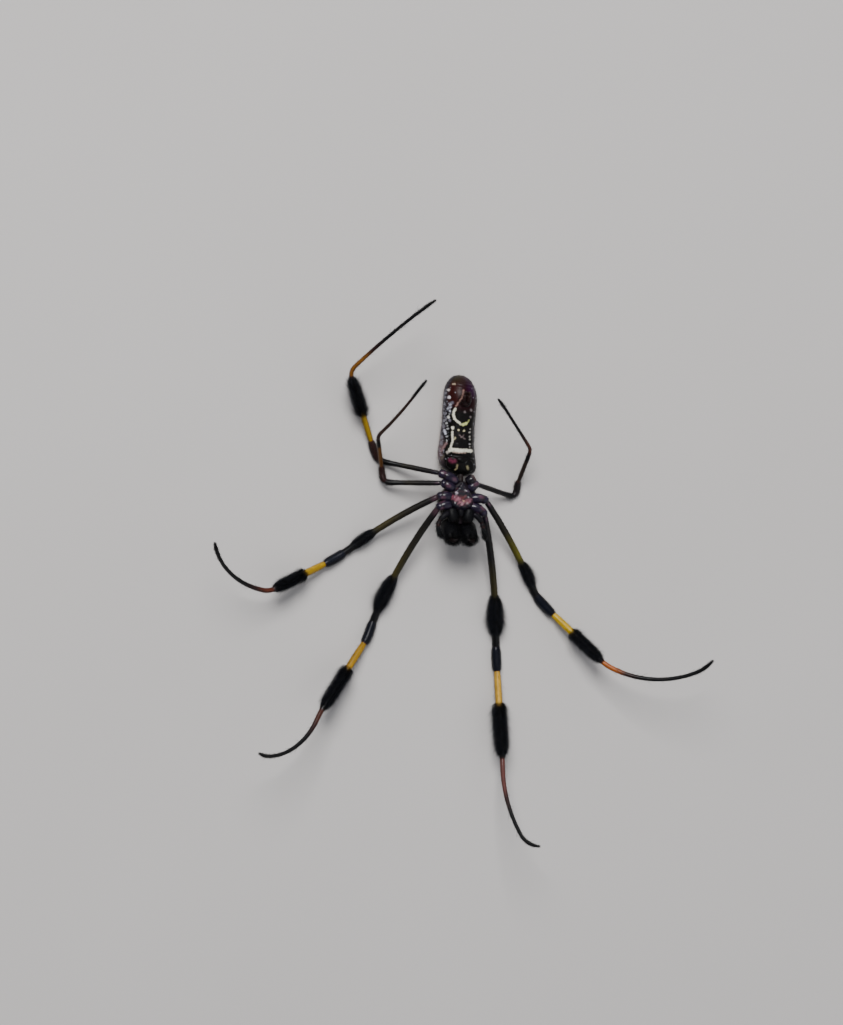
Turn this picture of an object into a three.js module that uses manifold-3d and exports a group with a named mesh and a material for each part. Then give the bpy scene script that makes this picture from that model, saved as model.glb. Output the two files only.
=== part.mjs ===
// Female golden silk orb weaver, life size, lying on her back with the legs held up as on a web.
// Millimetres, +Z up. The belly faces +Z, the head points to -Y, the spider's right side is +X.
import * as THREE from 'three';
import { mergeVertices } from 'three/addons/utils/BufferGeometryUtils.js';
import Module from 'manifold-3d';

const wasm = await Module();
wasm.setup();

// Driving dimensions
const GAP = 0.3;
const BODY_TURN = 5;
const STERNUM_CENTRE = new THREE.Vector3(0, -3.5, 7.5);

const ABDOMEN_LENGTH = 19.1;
const ABDOMEN_WIDTH = 7.4;
const ABDOMEN_HEIGHT = 6.9;
const ABDOMEN_FLAT_DEPTH = 0.15;

const CARAPACE_LENGTH = 10.2;
const CARAPACE_WIDTH = 8.2;
const CARAPACE_DEPTH = 2.9;
const STERNUM_LENGTH = 5.3;
const STERNUM_WIDTH = 4.8;
const STERNUM_THICKNESS = 1.9;
const CHELICERA_LENGTH = 5.2;
const CHELICERA_WIDTH = 3.5;
const CHELICERA_DEPTH = 3.0;
const CHELICERA_TILT = 52;
const COXA_RADIUS = 1.0;

const KNEE_FLAT_DEPTH = 0.08;

// Lengths of the joints of each pair of legs, first pair in front
const LEG_LENGTHS = {
  1: { femur: 25.6, patella: 4.7, tibia: 16.6, metatarsus: 16.5, tarsus: 4.5 },
  2: { femur: 21.3, patella: 4.9, tibia: 12.9, metatarsus: 17.8, tarsus: 4.5 },
  3: { femur: 10.5, patella: 3.3, tibia: 7.4, metatarsus: 13.2, tarsus: 3.6 },
  4: { femur: 11.5, patella: 4.5, tibia: 14.1, metatarsus: 18.5, tarsus: 4.3 },
};

// Radii of each joint at its thickest, per pair of legs
const LEG_RADII = {
  1: { femur: 0.68, patella: 0.85, tibia: 0.7, metatarsus: 0.45, tarsus: 0.36 },
  2: { femur: 0.66, patella: 0.85, tibia: 0.7, metatarsus: 0.45, tarsus: 0.36 },
  3: { femur: 0.52, patella: 0.6, tibia: 0.43, metatarsus: 0.33, tarsus: 0.28 },
  4: { femur: 0.52, patella: 0.7, tibia: 0.56, metatarsus: 0.38, tarsus: 0.31 },
};

// Where the femur leaves the trochanter, for a right leg, before the front body is turned
const HIPS = { 1: [4.7, -6.4, 6.3], 2: [4.9, -3.95, 6.2], 3: [3.7, -1.1, 6.1], 4: [4.6, 0.8, 6.0] };
// Degrees that the femur of each pair sweeps forward as it goes out
const FEMUR_SWEEPS = { 1: 6, 2: 6, 3: 0, 4: 0 };
// Where the coxa comes out from under the edge of the sternum
const COXA_ROOTS = { 1: [1.7, -5.2, 6.1], 2: [1.8, -3.8, 6.1], 3: [1.5, -2.1, 6.1], 4: [0.9, -0.8, 6.1] };

// Compass heading (0 to the spider's right, 90 to the rear) and rise above level, in degrees,
// as the joint sets off. A metatarsus curves, so its end is given too. The femur's rise is worked out.
// shift moves the hip outwards and to the rear, reach is this leg's length against its pair's,
// and lift is how far the knee stays above the floor.
const POSES = {
  right_1: {
    femur: -73, knee: [-80, 4], tibia: [-81, 11],
    metatarsus: [-88, 29], end: [-61, 39], tip: [8, 38],
    shift: [0.1, -0.5], reach: 1.02, lift: 0,
  },
  right_2: {
    femur: -50, knee: [-39, 4], tibia: [-38, 19],
    metatarsus: [-20, 25], end: [30, 27], tip: [62, 29],
    shift: [0.2, -0.3], reach: 1.03, lift: 0,
  },
  right_3: {
    femur: -9, knee: [95, 9], tibia: [88, 39],
    metatarsus: [139, 36], end: [140, 35], tip: [145, 37],
    shift: [-0.6, 0.1], reach: 0.99, lift: 0,
  },
  left_1: {
    femur: -110, knee: [-101, 6], tibia: [-119, 17],
    metatarsus: [-111, 19], end: [-169, 38], tip: [-198, 41],
    shift: [-0.2, 0.4], reach: 0.98, lift: 0,
  },
  left_2: {
    femur: -140, knee: [-143, 6], tibia: [-149, 18],
    metatarsus: [-183, 26], end: [-226, 42], tip: [-242, 41],
    shift: [-0.3, 0.2], reach: 0.97, lift: 0,
  },
  left_3: {
    femur: -172, knee: [-259, -11], tibia: [-243, 41],
    metatarsus: [-300, 41], end: [-290, 39], tip: [-295, 38],
    shift: [0.4, 0], reach: 1.01, lift: 1.1,
  },
  left_4: {
    femur: 176, knee: [120, 6], tibia: [120, 18],
    metatarsus: [57, 33], end: [49, 25], tip: [45, 24],
    shift: [0, 0], reach: 1, lift: 0,
  },
};
const STANDARD_POSE = { shift: [0, 0], reach: 1 };

// Brushes of bristles: the stretch of the joint that they cover and how far they reach from its axis
const BRUSHES = {
  femur: { 1: { from: 0.63, to: 0.94, reach: 1.8 }, 2: { from: 0.67, to: 0.94, reach: 1.7 } },
  tibia: {
    1: { from: 0.37, to: 0.97, reach: 1.65 },
    2: { from: 0.36, to: 0.97, reach: 1.6 },
    4: { from: 0.39, to: 0.97, reach: 1.6 },
  },
};
const LOCKS_AROUND = 5;
const LOCK_RING_STEP = 1.95;
const LOCK_LENGTH = 3.1;
const LOCK_WIDTH = 1.55;
const LOCK_THICKNESS = 0.62;
const BRUSH_CORE_SHARE = 0.4;

const COLOURS = {
  carapace: [0x8d8b84, 0.7],
  plate: [0x5a1f26, 0.45],
  jaw: [0x0b0b0d, 0.22],
  fang: [0x2a0d08, 0.25],
  mouthpart: [0x17100f, 0.4],
  coxa: [0x1b1420, 0.35],
  abdomen: [0x2a1414, 0.4],
  spinneret: [0x4a1d18, 0.5],
  stump: [0x7a3a22, 0.6],
  femur: [0x37341a, 0.45],
  patella: [0x0d0e14, 0.25],
  tibia: [0xb8861d, 0.45],
  metatarsus: [0x3a1a10, 0.4],
  tarsus: [0x0c0a0a, 0.4],
};

const rad = THREE.MathUtils.degToRad;
const { lerp, clamp } = THREE.MathUtils;

// Smooth value between stations, each a place and a value
function graded(...stations) {
  return (place) => {
    const last = stations.length - 1;
    if (place <= stations[0][0]) return stations[0][1];
    if (place >= stations[last][0]) return stations[last][1];
    const next = stations.findIndex((station) => station[0] > place);
    const [from, low] = stations[next - 1];
    const [to, high] = stations[next];
    const before = stations[Math.max(next - 2, 0)];
    const after = stations[Math.min(next + 1, last)];
    const slopeIn = (high - before[1]) / (to - before[0]) * (to - from);
    const slopeOut = (after[1] - low) / (after[0] - from) * (to - from);
    const t = (place - from) / (to - from);
    const t2 = t * t;
    const t3 = t2 * t;
    return (2 * t3 - 3 * t2 + 1) * low + (t3 - 2 * t2 + t) * slopeIn
      + (3 * t2 - 2 * t3) * high + (t3 - t2) * slopeOut;
  };
}

// A centre line with a steady frame along it: ahead, up and to the side
class Spine {
  constructor(points, up) {
    this.points = points;
    this.marks = [0];
    for (let i = 1; i < points.length; i += 1) {
      this.marks.push(this.marks[i - 1] + points[i].distanceTo(points[i - 1]));
    }
    this.aheads = points.map((point, i) => {
      const next = points[Math.min(i + 1, points.length - 1)];
      const previous = points[Math.max(i - 1, 0)];
      return next.clone().sub(previous).normalize();
    });
    this.ups = [];
    let carried = up.clone();
    for (const ahead of this.aheads) {
      carried = carried.clone().addScaledVector(ahead, -carried.dot(ahead)).normalize();
      this.ups.push(carried);
    }
  }

  get length() {
    return this.marks[this.marks.length - 1];
  }

  at(place) {
    const last = this.points.length - 1;
    const next = clamp(this.marks.findIndex((mark) => mark > place), 1, last);
    const index = place >= this.length ? last : next;
    const [mark, nextMark] = [this.marks[index - 1], this.marks[index]];
    const share = clamp((place - mark) / (nextMark - mark), 0, 1);
    const ahead = this.aheads[index - 1].clone().lerp(this.aheads[index], share).normalize();
    const up = this.ups[index - 1].clone().lerp(this.ups[index], share);
    up.addScaledVector(ahead, -up.dot(ahead)).normalize();
    const beyond = place < 0 ? place : Math.max(place - this.length, 0);
    const point = this.points[index - 1].clone().lerp(this.points[index], share);
    point.addScaledVector(ahead, beyond);
    return { point, ahead, up, side: new THREE.Vector3().crossVectors(ahead, up) };
  }
}

function straightSpine(from, to, up) {
  return new Spine([from, from.clone().lerp(to, 0.5), to], up);
}

function curvedSpine(points, up, steps = 40) {
  return new Spine(new THREE.CatmullRomCurve3(points).getSpacedPoints(steps), up);
}

// Closed body along a spine: a lathe of unit rings, each ring moved to its place and given its size.
// section(place) gives the half width and the height above and below the spine.
function sweep({ spine, section, rings, sides, rounded = [true, true] }, grow = 0) {
  const first = rings[0];
  const last = rings[rings.length - 1];
  const hoops = rings.slice(rounded[0] ? 1 : 0, rounded[1] ? -1 : undefined);
  const outline = [
    new THREE.Vector2(0, first - grow),
    ...hoops.map((place, i) => {
      const flatStart = !rounded[0] && i === 0;
      const flatEnd = !rounded[1] && i === hoops.length - 1;
      return new THREE.Vector2(1, place - (flatStart ? grow : 0) + (flatEnd ? grow : 0));
    }),
    new THREE.Vector2(0, last + grow),
  ];
  const geometry = new THREE.LatheGeometry(outline, sides);
  const position = geometry.getAttribute('position');
  for (let i = 0; i < position.count; i += 1) {
    const across = position.getX(i);
    const place = position.getY(i);
    const tall = position.getZ(i);
    const frame = spine.at(place);
    const size = section(clamp(place, first, last));
    const height = tall > 0 ? size.above + grow : size.below + grow;
    frame.point.addScaledVector(frame.side, -across * (size.half + grow));
    frame.point.addScaledVector(frame.up, tall * height);
    position.setXYZ(i, frame.point.x, frame.point.y, frame.point.z);
  }
  return toSolid(geometry);
}

function toSolid(geometry) {
  const bare = geometry.clone();
  bare.deleteAttribute('normal');
  bare.deleteAttribute('uv');
  const merged = mergeVertices(bare, 1e-4);
  const solid = new wasm.Manifold(new wasm.Mesh({
    numProp: 3,
    vertProperties: new Float32Array(merged.getAttribute('position').array),
    triVerts: new Uint32Array(merged.getIndex().array),
  }));
  return solid.volume() < 0 ? toSolid(flipped(bare)) : solid;
}

function flipped(geometry) {
  const order = geometry.getIndex().array;
  for (let i = 0; i < order.length; i += 3) {
    [order[i], order[i + 1]] = [order[i + 1], order[i]];
  }
  return geometry;
}

function join(solids) {
  return solids.reduce((whole, piece) => whole.add(piece));
}

function cut(solid, cutters) {
  return cutters.reduce((rest, cutter) => rest.subtract(cutter), solid);
}

// The one closed body that is left after joins and cuts, standing on the floor
function finished(solid) {
  const bodies = solid.trimByPlane([0, 0, 1], 0).decompose();
  return bodies.reduce((largest, body) => (body.volume() > largest.volume() ? body : largest));
}

function round(radius) {
  return (place) => ({ half: radius(place), above: radius(place), below: radius(place) });
}

function spread(from, to, count) {
  return Array.from({ length: count + 1 }, (_, i) => lerp(from, to, i / count));
}

// Place in the front body, given for an unturned body, as it lies with the body turned a little
function inFrontBody(across, along, height) {
  const turn = rad(BODY_TURN);
  const dy = along - STERNUM_CENTRE.y;
  return new THREE.Vector3(
    across * Math.cos(turn) - dy * Math.sin(turn),
    STERNUM_CENTRE.y + across * Math.sin(turn) + dy * Math.cos(turn),
    height,
  );
}

const UP = new THREE.Vector3(0, 0, 1);
const REAR = new THREE.Vector3(0, 1, 0);

// Front body
function ball(centre, radius, direction, sides = 7) {
  const from = centre.clone().addScaledVector(direction, -radius);
  const to = centre.clone().addScaledVector(direction, radius);
  const helper = Math.abs(direction.z) > 0.9 ? REAR : UP;
  const dome = (place) => Math.sqrt(Math.max(radius * radius - (place - radius) ** 2, 0));
  const rings = [0, 0.4, 1.2, 1.8, 2].map((share) => share * radius);
  return sweep({ spine: straightSpine(from, to, helper), section: round(dome), rings, sides });
}

const CARAPACE_BACK = -0.7;
const CARAPACE_AXIS = 5.1;
const carapaceShape = {
  spine: straightSpine(
    inFrontBody(0, CARAPACE_BACK, CARAPACE_AXIS),
    inFrontBody(0, CARAPACE_BACK - CARAPACE_LENGTH, CARAPACE_AXIS),
    UP,
  ),
  section: (place) => {
    const share = place / CARAPACE_LENGTH;
    const width = graded([0, 0.2], [0.04, 0.4], [0.14, 0.72], [0.32, 1], [0.48, 0.97], [0.62, 0.78],
      [0.72, 0.71], [0.88, 0.7], [0.96, 0.62], [1, 0.45]);
    const depth = graded([0, 0.2], [0.1, 0.6], [0.3, 0.82], [0.45, 0.72], [0.55, 0.74], [0.72, 1],
      [0.88, 0.95], [0.96, 0.76], [1, 0.5]);
    return {
      half: width(share) * CARAPACE_WIDTH / 2,
      above: lerp(0.4, 0.7, share),
      below: depth(share) * CARAPACE_DEPTH,
    };
  },
  rings: [0, 0.04, 0.14, 0.25, 0.36, 0.48, 0.58, 0.66, 0.76, 0.88, 0.96, 1, 1.01]
    .map((share) => share * CARAPACE_LENGTH),
  sides: 16,
};

// Four eyes in the middle of the face, and two on each side of the head
const MIDDLE_EYE_RADIUS = 0.36;
const OUTER_EYE_RADIUS = 0.41;
function eyes() {
  const face = CARAPACE_BACK - CARAPACE_LENGTH;
  const ahead = inFrontBody(0, -1, 0).sub(inFrontBody(0, 0, 0));
  return [-1, 1].flatMap((side) => [
    ball(inFrontBody(side * 0.5, face + 0.02, 4.5), MIDDLE_EYE_RADIUS, ahead),
    ball(inFrontBody(side * 0.56, face + 0.12, 3.65), MIDDLE_EYE_RADIUS, ahead),
    ball(inFrontBody(side * 2.5, face + 0.75, 4.35), OUTER_EYE_RADIUS, ahead),
    ball(inFrontBody(side * 2.6, face + 1.15, 4.0), OUTER_EYE_RADIUS, ahead),
  ]);
}

// Two small horns on the back of the head
const HORN_LENGTH = 1.75;
function horns() {
  return [-1, 1].map((side) => {
    const root = inFrontBody(side * 1.1, CARAPACE_BACK - 0.7 * CARAPACE_LENGTH, 3.2);
    const tip = root.clone().add(new THREE.Vector3(0, 0, -HORN_LENGTH));
    return sweep({
      spine: straightSpine(root, tip, REAR),
      section: round(graded([0, 0.55], [0.9, 0.42], [1.6, 0.2], [HORN_LENGTH, 0.15])),
      rings: [0, 0.9, 1.6, HORN_LENGTH],
      sides: 6,
      rounded: [false, true],
    });
  });
}

const STERNUM_BACK = -0.7;
const sternumShape = {
  spine: straightSpine(
    inFrontBody(0, STERNUM_BACK, STERNUM_CENTRE.z - 0.5),
    inFrontBody(0, STERNUM_BACK - STERNUM_LENGTH, STERNUM_CENTRE.z - 0.5),
    UP,
  ),
  section: (place) => {
    const share = place / STERNUM_LENGTH;
    const width = graded([0, 0.08], [0.1, 0.22], [0.3, 0.62], [0.5, 0.86], [0.68, 1], [0.85, 0.92],
      [0.96, 0.66], [1, 0.45]);
    const crown = graded([0, 0.3], [0.15, 0.7], [0.5, 1], [0.85, 0.85], [1, 0.4]);
    return {
      half: width(share) * STERNUM_WIDTH / 2,
      above: 0.5 * crown(share),
      below: (STERNUM_THICKNESS - 0.5) * (0.6 + 0.4 * crown(share)),
    };
  },
  rings: [0, 0.04, 0.15, 0.3, 0.5, 0.68, 0.85, 0.96, 1, 1.02].map((share) => share * STERNUM_LENGTH),
  sides: 12,
};

// Low humps of the sternum: one beside each coxa and one at the front
const HUMP_CENTRE = 6.9;
const HUMP_RADIUS = 0.72;
function sternumHumps() {
  const pairs = [[1.35, -5.0], [1.55, -3.7], [1.05, -2.4]].flatMap(([across, along]) => [
    inFrontBody(across, along, HUMP_CENTRE),
    inFrontBody(-across, along, HUMP_CENTRE),
  ]);
  return [...pairs, inFrontBody(0, -5.25, HUMP_CENTRE)].map((centre) => ball(centre, HUMP_RADIUS, UP));
}

function cheliceraShape(side) {
  const root = inFrontBody(side * 1.72, -8.5, 4.6);
  const tilt = rad(CHELICERA_TILT);
  const down = inFrontBody(0, -Math.cos(tilt), 0).sub(inFrontBody(0, 0, 0));
  const ahead = new THREE.Vector3(down.x, down.y, Math.sin(tilt));
  const size = graded([0, 0.72], [0.2, 0.93], [0.42, 1], [0.7, 0.97], [0.88, 0.84], [1, 0.5]);
  return {
    spine: straightSpine(root, root.clone().addScaledVector(ahead, CHELICERA_LENGTH), REAR),
    section: (place) => {
      const share = size(place / CHELICERA_LENGTH);
      return {
        half: share * CHELICERA_WIDTH / 2,
        above: share * CHELICERA_DEPTH * 0.45,
        below: share * CHELICERA_DEPTH * 0.55,
      };
    },
    rings: [0, 0.2, 0.42, 0.62, 0.8, 0.93, 1, 1.02].map((share) => share * CHELICERA_LENGTH),
    sides: 14,
    rounded: [false, true],
  };
}

// The two chelicerae stand side by side, each flat towards the other
function besideMidline(solid, side) {
  const across = inFrontBody(side, 0, 0).sub(inFrontBody(0, 0, 0));
  return solid.trimByPlane(across.toArray(), inFrontBody(0, 0, 0).dot(across) + GAP / 2);
}

// The fang folds inwards over the end of its chelicera and curves to a point
function fangShape(side) {
  const points = [[2.15, -11.35, 8.3], [2.1, -11.75, 8.95], [1.5, -11.75, 9.55], [0.75, -11.35, 9.55]]
    .map(([across, along, height]) => inFrontBody(side * across, along, height));
  const spine = curvedSpine(points, UP, 24);
  const girth = graded([0, 0.5], [0.3, 0.46], [0.7, 0.34], [1, 0.12]);
  return {
    spine,
    section: round((place) => girth(place / spine.length)),
    rings: spread(0, spine.length, 6),
    sides: 8,
    rounded: [false, false],
  };
}

function maxillaShape(side) {
  const root = inFrontBody(side * 1.85, -5.7, 6.7);
  const tip = inFrontBody(side * 1.35, -8.35, 7.0);
  const length = root.distanceTo(tip);
  const size = graded([0, 0.75], [0.3, 0.95], [0.65, 1], [0.88, 0.8], [1, 0.45]);
  return {
    spine: straightSpine(root, tip, UP),
    section: (place) => {
      const share = size(place / length);
      return { half: share * 0.9, above: share * 0.75, below: share * 0.8 };
    },
    rings: [0, 0.25, 0.5, 0.75, 0.9, 1, 1.03].map((share) => share * length),
    sides: 10,
    rounded: [false, true],
  };
}

const labiumShape = (() => {
  const root = inFrontBody(0, -5.6, 6.7);
  const tip = inFrontBody(0, -7.4, 6.95);
  const length = root.distanceTo(tip);
  const size = graded([0, 1], [0.5, 0.95], [0.85, 0.7], [1, 0.4]);
  return {
    spine: straightSpine(root, tip, UP),
    section: (place) => {
      const share = size(place / length);
      return { half: share * 0.7, above: share * 0.55, below: share * 0.6 };
    },
    rings: [0, 0.4, 0.75, 0.95, 1, 1.04].map((share) => share * length),
    sides: 10,
    rounded: [false, true],
  };
})();

// Palp of five joints, thin and bent like a small leg, narrower where its joints meet
function palpShape(side) {
  const places = [[2.35, -6.6, 7.0], [3.4, -7.3, 7.15], [4.2, -8.4, 7.05], [4.45, -9.5, 7.5],
    [4.4, -10.7, 8.9], [4.2, -11.2, 10.6]];
  const points = places.map(([across, along, height]) => inFrontBody(side * across, along, height));
  const spine = curvedSpine(points, UP);
  const girth = graded([0, 0.5], [0.1, 0.55], [0.29, 0.5], [0.33, 0.42], [0.4, 0.52], [0.47, 0.42],
    [0.57, 0.5], [0.66, 0.42], [0.79, 0.46], [0.92, 0.36], [1, 0.2]);
  return {
    spine,
    section: round((place) => girth(place / spine.length)),
    rings: [0, 0.1, 0.2, 0.29, 0.33, 0.4, 0.47, 0.57, 0.66, 0.79, 0.92, 0.98, 1]
      .map((share) => share * spine.length),
    sides: 8,
    rounded: [false, true],
  };
}

// Rear body
const ABDOMEN_FRONT = 0.3;
const ABDOMEN_AXIS = ABDOMEN_HEIGHT / 2 - ABDOMEN_FLAT_DEPTH;
const abdomenShape = (() => {
  const sway = graded([0, -0.4], [1.5, -0.75], [4.3, -1.4], [10.4, -1.85], [14.7, -2.15],
    [ABDOMEN_LENGTH, -2.55]);
  const lift = graded([0, 0.75], [3, 0.15], [8, 0], [14, 0], [ABDOMEN_LENGTH, -0.35]);
  const points = spread(0, ABDOMEN_LENGTH, 40).map((along) => (
    new THREE.Vector3(sway(along), ABDOMEN_FRONT + along, ABDOMEN_AXIS + lift(along))
  ));
  const width = graded([0, 0.12], [0.025, 0.6], [0.08, 0.93], [0.16, 1], [0.24, 0.965], [0.4, 0.885],
    [0.56, 0.865], [0.76, 0.885], [0.88, 0.8], [0.95, 0.6], [0.985, 0.36], [1, 0.12]);
  const height = graded([0, 0.1], [0.025, 0.5], [0.08, 0.8], [0.17, 0.95], [0.3, 1], [0.6, 0.97],
    [0.78, 0.97], [0.88, 0.85], [0.95, 0.62], [0.985, 0.36], [1, 0.12]);
  const spine = new Spine(points, UP);
  return {
    spine,
    section: (place) => {
      const share = place / spine.length;
      return {
        half: width(share) * ABDOMEN_WIDTH / 2,
        above: height(share) * ABDOMEN_HEIGHT / 2,
        below: height(share) * ABDOMEN_HEIGHT / 2,
      };
    },
    rings: [0, 0.008, 0.03, 0.08, 0.16, 0.25, 0.36, 0.5, 0.64, 0.76, 0.85, 0.92, 0.965, 0.99, 1]
      .map((share) => share * spine.length),
    sides: 20,
  };
})();

const SPINNERET_CENTRE = new THREE.Vector3(-1.95, 14.7, 6.3);
function spinneretMound() {
  const top = SPINNERET_CENTRE.clone().add(new THREE.Vector3(0, 0.1, 0.95));
  return sweep({
    spine: straightSpine(SPINNERET_CENTRE, top, REAR),
    section: round(graded([0, 1.25], [0.5, 1.15], [0.95, 0.85])),
    rings: [0, 0.5, 0.95],
    sides: 10,
    rounded: [false, false],
  });
}

// Three pairs of spinnerets, folded to the rear, each given by its place across and along, its
// radius and its length
const SPINNERET_PAIRS = [[0.55, -0.3, 0.55, 1.7], [0.5, 0.5, 0.5, 1.6], [0.2, 0.1, 0.3, 1.3]];
const SPINNERET_LEAN = 50;
function spinnerets() {
  const cones = SPINNERET_PAIRS.flatMap(([across, along, radius, reach]) => [-1, 1].map((side) => {
    const root = SPINNERET_CENTRE.clone().add(new THREE.Vector3(side * across, along, 0.6));
    const lean = rad(SPINNERET_LEAN);
    const run = new THREE.Vector3(-side * 0.12, reach * Math.sin(lean), reach * Math.cos(lean));
    const tip = root.clone().add(run);
    const spine = straightSpine(root, tip, REAR);
    return sweep({
      spine,
      section: round(graded([0, radius], [0.6 * spine.length, 0.8 * radius], [spine.length, 0.45 * radius])),
      rings: [0, 0.55, 0.9, 1].map((share) => share * spine.length),
      sides: 6,
      rounded: [false, true],
    });
  }));
  return join([spinneretMound(), ...cones]);
}

const pedicelShape = {
  spine: straightSpine(new THREE.Vector3(-0.22, -1.6, 5.3), new THREE.Vector3(-0.45, 1.6, 4.9), UP),
  section: round(() => 0.62),
  rings: [0, 3.2],
  sides: 8,
  rounded: [false, false],
};

// Legs
function sideSign(side) {
  return side === 'right' ? 1 : -1;
}

function poseOf(side, pair) {
  return POSES[`${side}_${pair}`] ?? STANDARD_POSE;
}

function hipOf(side, pair) {
  const [across, along, height] = HIPS[pair];
  const [outward, rearward] = poseOf(side, pair).shift;
  return inFrontBody(sideSign(side) * (across + outward), along + rearward, height);
}

function lengthsOf(side, pair) {
  const { reach } = poseOf(side, pair);
  const entries = Object.entries(LEG_LENGTHS[pair]).map(([joint, length]) => [joint, length * reach]);
  return Object.fromEntries(entries);
}

function direction(heading, rise) {
  const [h, r] = [rad(heading), rad(rise)];
  return new THREE.Vector3(Math.cos(h) * Math.cos(r), Math.sin(h) * Math.cos(r), Math.sin(r));
}

// Centre line of a whole leg, whose direction turns evenly from station to station
const WALK_STEP = 0.25;
const FEMUR_BOW = 3;
const SETTLE_PASSES = 4;
function legSpine(side, pair, femurRise) {
  const start = hipOf(side, pair);
  const pose = poseOf(side, pair);
  const sweepAngle = sideSign(side) * FEMUR_SWEEPS[pair];
  const { femur, patella, tibia, metatarsus, tarsus } = lengthsOf(side, pair);
  const knee = femur + patella;
  const ankle = knee + tibia;
  const total = ankle + metatarsus + tarsus;
  const stations = [
    [0, pose.femur + sweepAngle, femurRise - FEMUR_BOW],
    [0.92 * femur, pose.femur - sweepAngle, femurRise + FEMUR_BOW],
    [femur + 0.4 * patella, ...pose.knee],
    [knee, ...pose.tibia],
    [knee + 0.95 * tibia, ...pose.tibia],
    [ankle + 0.12 * metatarsus, ...pose.metatarsus],
    [ankle + metatarsus, ...pose.end],
    [total, ...pose.tip],
  ];
  const steps = Math.round(total / WALK_STEP);
  const points = [start.clone()];
  for (let i = 0; i < steps; i += 1) {
    const place = (i + 0.5) * total / steps;
    const next = clamp(stations.findIndex((station) => station[0] > place), 1, stations.length - 1);
    const [from, headingFrom, riseFrom] = stations[next - 1];
    const [to, headingTo, riseTo] = stations[next];
    const share = (place - from) / (to - from);
    const ahead = direction(lerp(headingFrom, headingTo, share), lerp(riseFrom, riseTo, share));
    points.push(points[i].clone().addScaledVector(ahead, total / steps));
  }
  return new Spine(points, UP);
}

// The femur slopes down until the bent knee lies on the floor, or as far above it as its lift
function settledLegSpine(side, pair) {
  const { femur } = lengthsOf(side, pair);
  const kneeHeight = LEG_RADII[pair].patella - KNEE_FLAT_DEPTH + poseOf(side, pair).lift;
  let rise = -THREE.MathUtils.radToDeg(Math.asin((HIPS[pair][2] - kneeHeight) / femur));
  let spine = legSpine(side, pair, rise);
  for (let pass = 0; pass < SETTLE_PASSES; pass += 1) {
    const lowest = Math.min(...spine.points.map((point) => point.z));
    rise += THREE.MathUtils.radToDeg((kneeHeight - lowest) / femur);
    spine = legSpine(side, pair, rise);
  }
  return spine;
}

// Seeded draw between -1 and 1
function makeDraw(seed) {
  let state = seed;
  return () => {
    state = (state * 1664525 + 1013904223) % 4294967296;
    return state / 2147483648 - 1;
  };
}

// Girth of each joint along its length, as a share of its thickest
const GIRTHS = {
  femur: graded([0, 0.8], [0.08, 0.9], [0.3, 1], [0.8, 0.95], [0.95, 0.92], [1, 0.88]),
  patella: graded([0, 0.72], [0.25, 0.95], [0.6, 1], [0.9, 0.9], [1, 0.8]),
  tibia: graded([0, 0.82], [0.15, 1], [0.6, 0.95], [0.95, 0.9], [1, 0.8]),
  metatarsus: graded([0, 1.1], [0.06, 1.15], [0.3, 1], [0.8, 0.85], [1, 0.82]),
  tarsus: graded([0, 1], [0.5, 0.97], [0.9, 0.85], [1, 0.6]),
};
const RING_COUNTS = { femur: 5, patella: 6, tibia: 4, metatarsus: 8, tarsus: 3 };
const JOINTS = ['femur', 'patella', 'tibia', 'metatarsus', 'tarsus'];
const LEG_SIDES = 8;

function brushReach(brush, share) {
  const within = (share - brush.from) / (brush.to - brush.from);
  return brush.reach * (0.86 + 0.14 * Math.sin(Math.PI * clamp(within, 0, 1)));
}

// One flat tapered lock: its root is sunk in the joint, it stands out, then lies along towards the foot
function lock(spine, place, angle, skin, reach, draw) {
  const length = LOCK_LENGTH * (1 + 0.12 * draw());
  const swerve = 0.2 * draw();
  const around = (at, distance, turn) => {
    const { point, up, side } = spine.at(at);
    const outward = side.clone().multiplyScalar(Math.cos(turn)).addScaledVector(up, Math.sin(turn));
    return { point: point.addScaledVector(outward, distance), outward };
  };
  const root = around(place, skin * 0.55, angle);
  const bend = around(place + length * 0.42, lerp(skin, reach, 0.72), angle + swerve * 0.5);
  const tip = around(place + length, reach * (1 + 0.05 * draw()), angle + swerve);
  const line = new Spine([root.point, bend.point, tip.point], root.outward);
  const bendPlace = root.point.distanceTo(bend.point);
  const size = graded([0, 1], [bendPlace, 0.82], [line.length, 0.16]);
  return sweep({
    spine: line,
    section: (at) => ({
      half: size(at) * LOCK_WIDTH / 2,
      above: size(at) * LOCK_THICKNESS * 0.6,
      below: size(at) * LOCK_THICKNESS * 0.6,
    }),
    rings: [0, bendPlace, line.length],
    sides: 3,
    rounded: [false, true],
  });
}

function brushLocks(spine, from, length, brush, skin, draw) {
  const start = from + brush.from * length;
  const end = from + brush.to * length - LOCK_LENGTH * 0.8;
  const ringCount = Math.max(Math.round((end - start) / LOCK_RING_STEP), 2);
  const locks = [];
  for (let ring = 0; ring <= ringCount; ring += 1) {
    for (let i = 0; i < LOCKS_AROUND; i += 1) {
      const place = lerp(start, end, ring / ringCount) + 0.2 * draw();
      const angle = (i + 0.5 * (ring % 2)) * 2 * Math.PI / LOCKS_AROUND + 0.15 * draw();
      const share = (place + LOCK_LENGTH * 0.6 - from) / length;
      locks.push(lock(spine, place, angle, skin, brushReach(brush, share), draw));
    }
  }
  return locks;
}

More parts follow.
